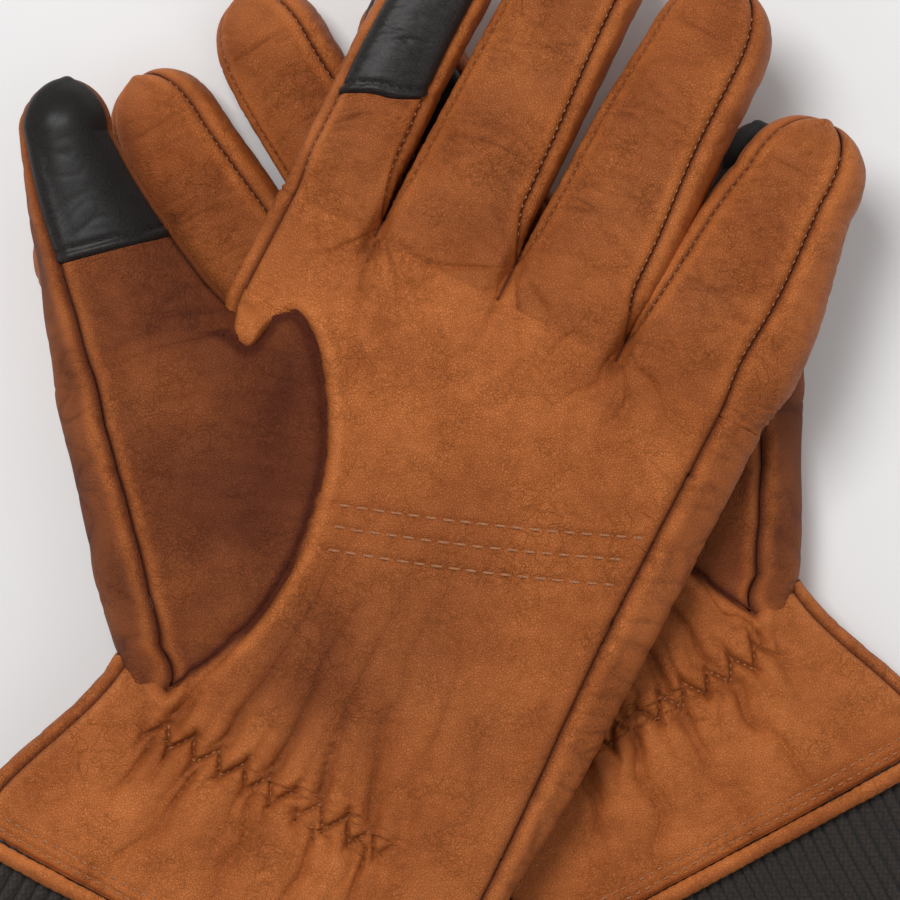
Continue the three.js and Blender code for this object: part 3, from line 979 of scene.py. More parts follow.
    def hollow(self, u: Array, v: Array) -> Array:
        """The cup of the palm and long soft creases across it."""
        cup = -1.3 * hump(u - 12, 22) * hump(v + 30, 30) - 2.0 * hump(v + 68.6, 1.1) * smooth((-28 - u) / 5)
        wave = u + 0.9 * v + 5 * self.noise.at(u / 22, v / 22 + 2)
        long = -0.45 * np.exp(-5 * np.abs(np.sin(np.pi * wave / 31))) * hump(v - 22, 16)
        swell = 0.8 * hump(u + 2, 26) * hump(v - 12, 14)
        lower = 0.8 * self.noise.at((u + 0.5 * v) / 9 + 40, (v - 0.3 * u) / 22) * hump(v + 48, 22)
        return cup + long + swell + lower + self.row_grooves(u, v)

    def row_grooves(self, u: Array, v: Array) -> Array:
        """The dents along the three stitched rows across the palm."""
        out = 0 * u
        for (u0, v0), (u1, v1) in self.palm_rows:
            bow = np.sin(np.pi * np.clip((u - u0) / (u1 - u0), 0, 1))
            line = np.interp(u, [u0, u1], [v0, v1]) - ROW_BOW * bow
            out += -0.42 * hump(v - line, 0.75) * smooth((u - u0) / 2) * smooth((u1 - u) / 2)
        return out

    def hem_rows(self, v: Array) -> Array:
        """The two stitched grooves and the turned edge at the hem."""
        rows = -0.35 * hump(v - HEM - HEM_ROWS[0], 0.6) - 0.35 * hump(v - HEM - HEM_ROWS[1], 0.6)
        return rows + 0.25 * hump(v - HEM - 3.3, 0.8) - 2.2 * np.exp(-np.abs(v - HEM) / 0.7)


# ---- one glove ----


@dataclass
class Dresser:
    """Turns sheets into finished pieces that ride on the right body."""

    lay: Lay
    finishes: Finishes

    def piece(self, part: str, sheets: list[Sheet], slot: Finish = Finish.TAN,
              thickness: float = LEATHER, step: int = 4, free: bool = False) -> bpy.types.Object:
        """Makes one piece of closed shells.

        Args:
            part: The part's name without the glove's.
            sheets: Its outer faces.
            slot: Its finish.
            thickness: Thickness of its material.
            step: Outer cells to one inner cell.
            free: Whether it is left off the glove's body.

        Returns:
            The piece, riding on the glove unless it is free.
        """
        maker = MeshMaker(self.lay)
        for sheet in sheets:
            maker.shell(sheet, thickness, step)
        return self.settle(maker, part, slot, (part,), free)

    def settle(self, maker: MeshMaker, part: str, slot: Finish, nodes: tuple[str, ...] = (),
               free: bool = False) -> bpy.types.Object:
        """Finishes a made mesh, rides it on the glove unless free, and lets it stand for CAD parts."""
        piece = maker.finish(f"{self.lay.name}_{part}_{slot.value.split('_')[0]}", self.finishes[slot])
        if not free:
            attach(piece, self.lay.body)
        if nodes:
            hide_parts(*(f"{self.lay.name}_{node}" for node in nodes))
        return piece


def spaced(start: float, stop: float, pitch: float) -> Array:
    """Numbers from start to stop about a pitch apart, in either direction."""
    return np.linspace(start, stop, max(2, int(abs(stop - start) / pitch) + 1))


@dataclass
class Hand:
    """Palm, back and side walls of one glove.

    Attributes:
        pattern: Its outline and relief.
        dresser: Makes its pieces.
        near: Angle of the seams at the thumb-side outline, in degrees.
        back_far: Angle of the back's seam on the little-finger side, in degrees.
        pitch: Size of a mesh cell on the palm.
    """

    pattern: HandPattern
    dresser: Dresser
    near: float = SIDE_SEAM
    back_far: float = SIDE_SEAM
    pitch: float = 0.55

    def face(self, v: Array, left: Array, right: Array, side: Side,
             pitch: float) -> tuple[Sheet, Array]:
        """A face of the hand between two edges.

        Args:
            v: The rows' places.
            left: Angle of each row's first column.
            right: Angle of each row's last column.
            side: Palm or back.
            pitch: Size of a cell.

        Returns:
            The sheet, and each point's distance from the first edge.
        """
        t = np.linspace(0, 1, 420)[None]
        angle = left[:, None] + (right - left)[:, None] * t
        dense = self.pattern.at_angle(angle, v[:, None] + 0 * angle, side)
        columns = int(np.ptp(dense[..., 0]) / pitch) + 2
        points, run = even_columns(dense, columns)
        return Sheet(points), run

    def seamed(self, sheet: Sheet, run: Array, side: Side, near: bool = False) -> Sheet:
        """Rolls a face down into its seams, paints shade into its seams and hollows, and darkens the lower
        palm.
        """
        u, v = sheet.points[..., 0], sheet.points[..., 1]
        if side is Side.PALM:
            thumb = distance_to(self.pattern.seam_path, u, v)
            far = self.pattern.far_seam(v) - u
            drop = seam_roll(thumb, 1.7, 0.7) + seam_roll(far)
            # Painted shade in the thumb's seam and the far seam, lighter beside the thumb's seam.
            shade = -1.2 * np.exp(-thumb / 0.8) + 0.5 * hump(thumb - 2.4, 1.6)
            shade = shade - 0.9 * np.exp(-np.abs(far) / 0.7)
            # The lower palm is coloured darker.
            lower_palm_dark = -0.5 * hump(u + 6, 32) * hump(v + 52, 21)
        else:
            drop, shade, lower_palm_dark = 0 * u, 0 * u, 0 * u
        if near:
            drop = drop + seam_roll(run)
            # Painted shade in the thumb-side seam, lighter beside it.
            shade = shade - np.exp(-run / 0.5) + 0.4 * hump(run - 2, 1.3)
        flat = self.pattern.relief(u, v, side)
        # Painted shade in the relief's gathers, pits and creases, and lighter on its raised spots.
        sheet.relief = np.clip(shade + 0.17 * np.clip(flat, -2.5, 1.5) + lower_palm_dark, -1, 1)
        return sheet.press(drop)

    def palm_sheets(self) -> list[Sheet]:
        """The palm leather, cut where the thumb is set in."""
        p, near = self.pattern, math.pi - math.radians(self.near)
        cut = 9.4
        sheets = []
        spans = ((HEM, -69.0, None), (-69.0, cut, p.set_in), (cut, FINGER_START + 0.001, None))
        for start, stop, edge in spans:
            v = spaced(start - 1.1, stop + 1.1, self.pitch)
            left = np.full(v.shape, near) if edge is None else p.angle(edge(v), v)
            sheet, run = self.face(v, left, self.far_seam(v), Side.PALM, self.pitch)
            sheets.append(self.seamed(sheet, run, Side.PALM, edge is None).crop(slice(2, -2)))
        return [*sheets, self.tongue(cut)]

    def tongue(self, cut: float) -> Sheet:
        """The plump tongue of the palm between the thumb's seam and the crotch, up to its cut edge."""
        p = self.pattern
        v = spaced(-2.2, cut + 0.5, 0.4)[:, None]
        t = np.linspace(0, 1, 240)[None]
        first, last = math.pi - math.radians(self.near), p.angle(p.tongue_edge(v), v)
        slant = 3.6 * (1 - t) * (1 - smooth((v + 2.2) / (cut + 2.2)))
        dense = p.at_angle(first + (last - first) * t, v + slant, Side.PALM)
        points, run = even_columns(dense, 34)
        edge = from_edges(run)
        low = np.linalg.norm(points - points[:1], axis=-1)
        free = 1 - smooth((v - 4) / 5)
        sheet = Sheet(points)
        # Painted shade along its seams and where its lower edge tucks down.
        sheet.relief = np.clip(0.35 - np.exp(-edge / 0.5) - np.exp(-low / 0.6), -1, 1)
        sheet.press(seam_roll(edge, 0.8, 0.5) + 0.7 * free * smooth(edge / 3))
        lift = 4.8 * free * smooth(run[:, -1:] / 3) * smooth(edge / 1.6 + 0.3)
        sheet.points[..., 2] += lift - 4.0 * np.exp(-low / 0.9)
        sheet.face_out()
        return sheet

    def back_sheets(self) -> list[Sheet]:
        """The leather of the back of the hand."""
        v = spaced(HEM, FINGER_START, 1.2)
        left = -math.pi + math.radians(self.near) + 0 * v
        right = -math.radians(self.back_far) + 0 * v
        sheet, run = self.face(v, right, left, Side.BACK, 1.2)
        return [self.seamed(sheet, run, Side.BACK)]

    def wall(self, start: float, stop: float, first: Callable[[Array], Array], last: float,
             pitch: float) -> Sheet:
        """A side wall of the hand from one seam angle to another, turning past the outline."""
        v = spaced(start, stop, pitch)
        t = np.linspace(0, 1, 160)[None]
        begin = first(v)[:, None]
        angle = begin + (last - begin) * t
        dense = self.pattern.at_angle(angle, v[:, None] + 0 * angle, Side.PALM)
        points, at = even_columns(dense, max(6, int(run_along(dense[0])[-1] / pitch)))
        sheet = Sheet(points)
        edge = from_edges(at)
        wrinkle = 0.3 * self.pattern.wrinkle.creases(at / 7 + 50, points[..., 1] / 3)
        # Painted shade in its seams and creases, lighter worn puffs beside the seams, and darker all over.
        sheet.relief = np.clip(seam_shade(edge) + wrinkle - 0.16, -1, 1)
        return sheet.press(seam_roll(edge, 1.2, 0.4) + wrinkle)

    def near_seam(self, v: Array) -> Array:
        """Angle of the back's thumb-side seam."""
        return np.full(v.shape, math.pi + math.radians(self.near))

    def far_seam(self, v: Array) -> Array:
        """Angle of the palm's little-finger-side seam."""
        return self.pattern.angle(self.pattern.far_seam(v), v)

    def build_walls(self) -> None:
        """Makes the four side walls."""
        d = self.dresser
        turn, far_back = math.pi - math.radians(self.near), -math.radians(self.back_far)
        for part, start, stop in (("index_side", 0.5, FINGER_START), ("cuff_side", HEM, -67.5)):
            d.piece(part, [self.wall(start, stop, self.near_seam, turn, 0.9)])
        for part, start, stop in (("outer_side", -58.0, FINGER_START), ("vent_gusset", HEM, -57.0)):
            d.piece(part, [self.wall(start, stop, self.far_seam, far_back, 0.7)])


FAR_SEAM, BACK_SEAM, NEAR_SEAM = 1, 2, 3  # numbers of the seams that a finger's strips begin at


@dataclass
class Finger:
    """One finger of a glove.

    Attributes:
        pattern: Its sizes.
        hand: The hand that it grows from.
        roll: 1 where its far side shows from above, -1 where its near side does.
        pitch: Size of a mesh cell.
    """

    pattern: FingerPattern
    hand: HandPattern
    roll: int
    pitch: float = 0.5

    def rows(self, start: float, pitch: float) -> Array:
        """Places of the rows, closer together round the end."""
        p = self.pattern
        turn = np.linspace(0, math.pi / 2, max(10, int(p.dome * 1.6 / pitch)))[1:]
        return np.concatenate([spaced(start, p.end - p.dome, pitch), p.end - p.dome + p.dome * np.sin(turn)])

    def seam_angles(self, v: Array) -> tuple[Array, Array, Array, Array]:
        """Angles of the front near, front far, back far and back near seams."""
        p = self.pattern
        t = smooth((v - KNUCKLE) / (p.end - p.dome - KNUCKLE))
        far = np.radians(mix(p.far[0], p.far[1], t))
        near = math.radians({"index": 42.0, "little": 36.0}.get(p.name, 24.0)) + 0 * v
        low = math.radians(20.0) + 0 * v
        if self.roll > 0 or p.name == "little":
            return math.pi - near, far, -low, -math.pi + low
        return math.pi - np.radians(mix(40.0, 57.0, t)), near, -low, -math.pi + low

    def tube(self, angle: Array, v: Array) -> Array:
        """A point of the finger's own section."""
        p = self.pattern
        straight = p.end - p.dome
        along = np.clip((v - KNUCKLE) / (straight - KNUCKLE), -0.2, 1)
        past = np.clip((v - straight) / p.dome, 0, 1)
        close = np.maximum(1 - past**2.5, 0) ** 0.46
        half = mix(p.base, p.tip, np.abs(along) ** 1.8) * close
        depth = mix(10.8, 10.2, along) * np.sqrt(close * (0.35 + 0.65 * close))
        x, z = signed_power(np.cos(angle), 0.72), signed_power(np.sin(angle), 0.85)
        bow = 0.5 * self.hand.noise.at(v / 24 + p.centre, 0 * v) * smooth((v - 45) / 20) * (1 - past)
        return np.stack([p.centre + bow + half * x, v + 0 * x, depth * z], -1)

    def joined(self, v: Array, s: Array) -> tuple[Array, Array]:
        """How far each point has left the palm for the finger's own section.

        Args:
            v: Rows, one each.
            s: Columns from 0 near to 1 far.

        Returns:
            The share of the finger's own section, and u on the palm.
        """
        p = self.pattern
        hand = self.hand
        near, far = p.roots
        left = np.full(v.shape, near[0]) if near else hand.inner(v) + 0.35
        right = np.full(v.shape, far[0]) if far else hand.far_seam(v)
        low = (near or (0, OUTER_ROOT))[1]
        high = (far or (0, OUTER_ROOT))[1]
        leave = mix(low, high, s)
        return smooth((v - leave + 0.5) / 13), mix(left, right, s)

    def front(self, start: float = FINGER_START) -> Sheet:
        """The palm-side panel, which grows out of the palm."""
        v = self.rows(start - 1.0, self.pitch)[:, None]
        s = np.linspace(0, 1, 260)[None]
        a, b, _, _ = self.seam_angles(v)
        slant = 8.0 * (s - 0.5) * hump(v - 56, 16) if self.pattern.patch else 0 * s
        own = self.tube(a + (b - a) * s, v + slant)
        share, u = self.joined(v, s)
        if self.pattern.roots[0] is None:
            first = math.pi - math.radians(SIDE_SEAM)
            last = self.hand.angle(u[:, -1:], v)
            palm = self.hand.at_angle(first + (last - first) * s, v + 0 * s, Side.PALM)
        else:
            palm = np.stack([u, v + 0 * s, self.hand.face(u, v + 0 * s)], -1)
        points, at = even_columns(mix(palm, own, share[..., None]), int(2 * self.pattern.base / self.pitch))
        sheet = Sheet(points)
        reach = at[:, -1:]
        left_free = smooth((v - (self.pattern.roots[0] or (0, 0))[1]) / 5)
        right_free = smooth((v - (self.pattern.roots[1] or (0, 0))[1]) / 5)
        roll = seam_roll(at) * left_free + seam_roll(reach - at) * right_free
        crease = self.wrinkles(at / np.maximum(reach, 1e-6), v)
        sheet.relief = self.shade(at, reach, crease)
        sheet.press(roll + crease)
        return sheet.crop(slice(2, None))

    def wrinkles(self, s: Array, v: Array) -> Array:
        """Creases across the finger, deepest where it bends."""
        p, w = self.pattern, self.hand.wrinkle
        length = p.end - KNUCKLE
        away = v - KNUCKLE
        bend = hump(away - 0.30 * length, 6) + 0.8 * hump(away - 0.58 * length, 6) + 0.5 * hump(away - 4, 6)
        x = s * 2 * p.base / 9 + p.centre
        curve = v + 2.2 * (s - 0.5) ** 2 * 4 + 0.9 * w.at(x, v / 9)
        creases = 0.62 * bend * w.creases(x * 0.6, curve / 1.9, 7.0)
        creases = creases + 0.24 * w.creases(x * 0.7 + 4, curve / 2.9, 8.0)
        nail = -0.5 * np.exp(-3 * np.abs(v - (p.end - 12) + 3 * (s - 0.5) ** 2)) * hump(s - 0.45, 0.33)
        soft = 0.35 * self.hand.noise.at(x * 0.7 + 20, v / 13)
        level = smooth(away / 8) * smooth((p.end - v) / 10)
        level = level * np.minimum(1, 5 * np.minimum(s, 1 - s) + 0.1)
        if p.patch:
            level = level * (1 - 0.6 * smooth((v - p.end + p.patch) / 3))
        return (creases + nail + soft) * level

    def shade(self, at: Array, reach: Array, crease: Array) -> Array:
        """Painted shade in the seams and creases, lighter worn puffs beside the seams, and darker all over.
        """
        edge = np.minimum(at, reach - at)
        return np.clip(seam_shade(edge, 0.45, 2.0, 1.3) + 0.5 * crease - 0.24, -1, 1)

    def root_wall(self, v: Array, t: Array, far: bool) -> Array:
        """The wall of the hand that a side strip grows out of.

        Args:
            v: Rows, one each.
            t: Columns from 0 at the strip's first seam to 1 at its second.
            far: Whether it is the side towards the little finger.

        Returns:
            The wall's points.
        """
        p, root, seam = self.hand, self.pattern.roots[far], math.radians(SIDE_SEAM)
        if root:
            high = p.face(root[0] + 0 * v, v) - 0.3
            return np.stack([root[0] + 0 * (v + t), v + 0 * t, mix(high, -9.0, t if far else 1 - t)], -1)
        if far:
            begin, end = p.angle(p.far_seam(v), v), -seam + 0 * v
        else:
            begin, end = -math.pi + seam + 0 * v, -math.pi - seam + 0 * v
        return p.at_angle(begin + (end - begin) * t, v + 0 * t, Side.PALM)

    def strip(self, first: int, start: float, pitch: float = 0.8) -> Sheet:
        """A side strip of the gusset, or the back.

        Args:
            first: Number of the seam that it begins at.
            start: Where along the finger it begins.
            pitch: Size of a cell.

        Returns:
            The sheet.
        """
        v = self.rows(start, pitch)[:, None]
        t = np.linspace(0, 1, 120)[None]
        seams = list(self.seam_angles(v))
        seams.append(seams[0] - 2 * math.pi)
        a, b = seams[first], seams[first + 1]
        dense = self.tube(a + (b - a) * t, v + 0 * t)
        if first != BACK_SEAM:
            far = first == FAR_SEAM
            root = self.pattern.roots[far]
            share = smooth((v - (root[1] if root else OUTER_ROOT) + 0.5) / 13)
            dense = mix(self.root_wall(v, t, far), dense, share[..., None])
        points, at = even_columns(dense, max(8, int(18 / pitch)))
        sheet = Sheet(points)
        edge = from_edges(at)
        away = np.maximum(v - KNUCKLE, 0)
        fold = -np.abs(np.sin(np.pi * v / 2.1 + 1.5 * self.hand.noise.at(v / 5, at / 4)))
        crush = 0.5 * fold * np.exp(-away / 7) * np.minimum(1, edge / 2)
        crush = crush + 0.22 * self.hand.wrinkle.creases(at / 6, v / 3) * np.minimum(1, edge / 2)
        close = smooth((self.pattern.end - v) / 6)
        # Painted shade in its seams and in the crushed folds at its root.
        sheet.relief = np.clip(seam_shade(edge, 0.35, 2.0, 1.3) + 0.8 * crush, -1, 1)
        return sheet.press((seam_roll(edge, 1.1, 0.3) + crush) * mix(0.4, 1, close))


LAST_ROW = 11.0  # number of the thumb's last outline point, where its rounded end begins
TIP_ROW = 12.0  # number of the thumb's very tip
SET_IN = (  # the thumb's seam in the palm, from the foot to the crotch
    (-28.2, -69.5), (-22, -58), (-17.6, -45.7), (-16.8, -30.6), (-19.7, -15.3), (-26.5, -0.5),
    (-37.3, 12.9), (-46.4, 5.2))


@dataclass
class Thumb:
    """The thumb, from its foot at the wrist to its tip.

    Attributes:
        hand: The hand that it is set into.
        outer: Its outer outline, from the foot up.
        inner: Its seam with the palm, then its inner outline.
        back_inner: Its inner edge on the back.
        seam: Where its outer front seam lies, -1 at the outline and 1 at the inner edge.
        split: Number of the outline point where it comes free.
        patch: Number of the outline point where the touchscreen patch begins.
        tip: Length of its rounded end.
        whole: Whether the free thumb is laid as one rigid part.
        pitch: Size of a mesh cell.
    """

    hand: HandPattern
    outer: tuple[tuple[float, float], ...] = (
        (-37, -71), (-43, -65.5), (-51, -57), (-59, -47.5), (-66, -39), (-71, -33), (-75, -28),
        (-78.7, -22.5), (-84.5, -14.8), (-90.4, -6.6), (-99.2, 5.2), (-107.0, 17.6))
    inner: tuple[tuple[float, float], ...] = (
        *SET_IN, (-56.5, 6.5), (-69.5, 12.4), (-81, 18.6), (-91.0, 25.2))
    back_inner: tuple[tuple[float, float], ...] = (
        (-41.5, -70.0), (-40.5, -62), (-40.3, -53), (-40.3, -43), (-40.5, -33), (-41, -24),
        (-42.5, -12), (-45.5, 0))
    seam: tuple[float, ...] = (
        0.9, -0.10, -0.38, -0.54, -0.64, -0.69, -0.69, -0.66, -0.64, -0.66, -0.76, -0.88)
    split: float = 7.0
    patch: float = 9.0
    tip: float = 9.8
    whole: bool = True
    pitch: float = 0.55

    def rows(self, start: float, stop: float, pitch: float) -> Array:
        """Row numbers between two places, evenly spaced along the thumb."""
        t = np.linspace(0, LAST_ROW, 400)
        run = run_along((spline(self.outer, t) + spline(self.inner, t)) / 2)
        a, b = np.interp([start, min(stop, LAST_ROW)], t, run)
        rows = np.interp(spaced(a, b, pitch), run, t)
        if stop <= LAST_ROW:
            return rows
        turn = np.linspace(0, math.pi / 2, max(9, int(self.tip * 1.6 / pitch)))[1:]
        return np.concatenate([rows, LAST_ROW + turn / (math.pi / 2)])

    def ends(self, t: Array, side: Side) -> tuple[Array, Array, Array]:
        """Outline points of each row and how far it has closed round the tip."""
        body = np.minimum(t, LAST_ROW)
        a, b = spline(self.outer, body), spline(self.inner, body)
        if side is Side.BACK:
            low = spline(self.back_inner, np.minimum(body, self.split))
            b = mix(low, b, smooth(body - self.split + 1)[:, None])
        past = np.clip(t - LAST_ROW, 0, 1) * math.pi / 2
        close = np.cos(past)
        middle = (a + b) / 2
        across = b - a
        ahead = np.stack([-across[:, 1], across[:, 0]], -1) / np.linalg.norm(across, axis=1)[:, None]
        middle = middle + ahead * (self.tip * np.sin(past))[:, None]
        half = across / 2 * close[:, None]
        return middle - half, middle + half, close

    def at(self, x: Array, t: Array, side: Side) -> Array:
        """Points across the thumb.

        Args:
            x: (rows, columns) from -1 at the outer outline to 1 at the inner edge.
            t: Row numbers.
            side: Palm side or back.

        Returns:
            The points in the hand frame.
        """
        a, b, close = self.ends(t, side)
        f = (x + 1) / 2
        plane = a[:, None] + (b - a)[:, None] * f[..., None]
        depth = mix(mix(7.6, 11.9, smooth(t / 3.0)), 10.4, smooth((t - 4) / 6))
        depth = depth * np.sqrt(close * (0.35 + 0.65 * close))
        own = depth[:, None] * np.maximum(1 - np.abs(x) ** 2.7, 0) ** 0.5
        if side is Side.PALM:
            seam_height = self.hand.face(b[:, 0], b[:, 1]) - 0.4
        else:
            seam_height = np.full(t.shape, 10.4)
        root = np.where(x < 0, own, mix(depth[:, None], seam_height[:, None], smooth(x)))
        share = smooth((t - 6.2) / 1.3)[:, None]
        return np.concatenate([plane, (side.value * mix(root, own, share))[..., None]], -1)

    def follow(self, points: Array, t: Array) -> Array:
        """The v that places each point: a jointed thumb's free part is laid as a whole."""
        if not self.whole:
            return points[..., 1]
        return points[..., 1] * (1 - smooth((t - 4.5) / 2.5))[:, None]

    def front_rows(self) -> Array:
        """Row numbers of the whole palm-side panel, with one row on the split."""
        root = self.rows(0.0, self.split, self.pitch)
        return np.concatenate([root, self.rows(self.split, TIP_ROW, self.pitch)[1:]])

    def front(self) -> Sheet:
        """The palm-side panel, from the foot to the tip."""
        t = self.front_rows()
        seam = np.interp(t, np.arange(len(self.seam)), self.seam)[:, None]
        edge = np.where(t < self.split + 0.5, 1.0, 0.985)[:, None]
        x = seam + (edge - seam) * np.linspace(0, 1, 300)[None]
        points, at = even_columns(self.at(x, t, Side.PALM), 84)
        sheet = Sheet(points, along=self.follow(points, t))
        reach = at[:, -1:]
        u, v = points[..., 0], points[..., 1]
        path = distance_to(self.hand.seam_path, u, v)
        free = smooth((t - 6.6) / 0.8)[:, None]
        set_in = seam_roll(path, 1.1, 0.1) * (1 - free)
        inner = seam_roll(reach - at) * free
        outer = seam_roll(at, 1.5, 0.45)
        crease = self.wrinkles(points, at / np.maximum(reach, 1e-6), t)
        near = np.where(free > 0.5, reach - at, path)
        # Painted shade in the seams and creases, lighter beside the outer seam; the thumb's leather is
        # coloured darker all over, a little more towards its inner edge.
        shade = -np.exp(-np.minimum(at, near) / 0.7) + 0.45 * hump(at - 2.2, 1.4) + 0.3 * crease
        dull = -0.16 * smooth((t[:, None] - 1.5) / 2)
        dull = dull * smooth(at / np.maximum(reach, 1e-6) * 1.6 - 0.2) * (1 - 0.3 * free)
        sheet.relief = np.clip(shade + dull - 0.64, -1, 1)
        sheet.press(set_in + inner + outer + crease)
        sheet.along = self.follow(sheet.points, t)
        return sheet

    def wrinkles(self, points: Array, s: Array, t: Array) -> Array:
        """Creases of the thumb and the folds at its foot."""
        w, n = self.hand.wrinkle, self.hand.noise
        u, v = points[..., 0], points[..., 1]
        foot = smooth((3.0 - t) / 2.0)[:, None]
        folds = 0.7 * n.at((u - 0.4 * v) / 5 + 9, v / 16) * foot
        bend = hump(t - 7.6, 1.0)[:, None] + 0.4
        row = t[:, None] * 9 + 2.5 * (s - 0.5) ** 2 * 4
        across = 0.35 * bend * w.creases(s * 2.2 + 6, row / 4.0) + 0.14 * w.creases(s * 4 + 1, row / 1.7)
        soft = 0.5 * n.at(u / 15 + 2, v / 15) + 0.25 * n.at(u / 7, v / 8 + 5)
        level = smooth((TIP_ROW - t) / 1.2)[:, None] * np.minimum(1, 5 * np.minimum(s, 1 - s) + 0.1)
        level = level * (1 - 0.6 * smooth((t - 8.8) / 0.4))[:, None]
        return (folds + across + soft) * level

    def side(self, start: float, stop: float) -> Sheet:
        """The outer side strip, from the back's seam round the outline to the front's."""
        t = self.rows(start, stop, 0.8)
        seam = np.interp(t, np.arange(len(self.seam)), self.seam)[:, None]
        turn = np.linspace(0, 1, 160)[None]
        x = np.concatenate([mix(-0.86, -1.0, turn) + 0 * seam, mix(-1.0, seam, turn)[:, 1:]], 1)
        low, high = self.at(x[:, :160], t, Side.BACK), self.at(x[:, 159:], t, Side.PALM)
        points, at = even_columns(np.concatenate([low, high[:, 1:]], 1), 26)
        sheet = Sheet(points)
        edge = from_edges(at)
        crease = 0.3 * self.hand.wrinkle.creases(at / 8 + 30, t[:, None] * 2.3)
        crease = (crease + 0.3 * self.hand.noise.at(at / 9, t[:, None])) * np.minimum(1, edge / 2)
        # Painted shade in its seams and creases, lighter worn puffs beside the seams; the thumb's leather is
        # darker all over.
        sheet.relief = np.clip(seam_shade(edge) + 0.6 * crease - 0.62, -1, 1)
        sheet.press(seam_roll(edge, 1.2, 0.3) * np.minimum(1, (TIP_ROW - t) * 2 + 0.3)[:, None] + crease)
        sheet.along = self.follow(sheet.points, t)
        return sheet

    def inner_side(self, start: float) -> Sheet:
        """The inner side strip of the free thumb, from the front's seam to the back's."""
        t = self.rows(start, TIP_ROW, 0.8)
        turn = np.linspace(0, 1, 60)[None]
        x = mix(0.985, 1.0, turn) + 0 * t[:, None]
        high = self.at(x, t, Side.PALM)
        low = self.at(x[:, ::-1] - 0.06 * (1 - turn[:, ::-1]), t, Side.BACK)
        points, at = even_columns(np.concatenate([high, low[:, 1:]], 1), 12)
        sheet = Sheet(points)
        # Painted shade at its seams, and darker all over.
        sheet.relief = -0.4 - 0.5 * np.exp(-from_edges(at))
        sheet.press(0.9 * np.sin(np.pi * at / np.maximum(at[:, -1:], 1e-6)))
        sheet.along = self.follow(sheet.points, t)
        return sheet

    def back(self, start: float, stop: float) -> Sheet:
        """The back panel between two row numbers."""
        t = self.rows(start, stop, 1.0)
        x = np.linspace(0.94, -0.86, 200)[None] + 0 * t[:, None]
        points, at = even_columns(self.at(x, t, Side.BACK), 44)
        sheet = Sheet(points)
        edge = from_edges(at)
        crease = self.wrinkles(points + 40, at / np.maximum(at[:, -1:], 1e-6), t)
        # Painted shade in its seams and creases, lighter worn puffs beside the seams.
        sheet.relief = np.clip(seam_shade(edge) + 0.6 * crease, -1, 1)
        sheet.press(seam_roll(edge) * np.minimum(1, (TIP_ROW - t) * 2 + 0.3)[:, None] + crease)
        sheet.along = self.follow(sheet.points, t)
        return sheet

    def lining(self) -> Sheet:
        """The knitted thimble inside the free thumb."""
        columns = 32
        t = self.rows(self.split + 0.2, TIP_ROW, 3.0)
        x = 0.72 * (np.cos(np.linspace(math.pi, -math.pi, columns))[None] + 0 * t[:, None])
        high, low = self.at(x, t, Side.PALM), self.at(x, t, Side.BACK)
        upper = (np.arange(columns) < columns // 2)[None, :, None]
        tube = np.where(upper, high, low) * np.array([1, 1, 0.7])
        return Sheet(tube, along=self.follow(tube, t))


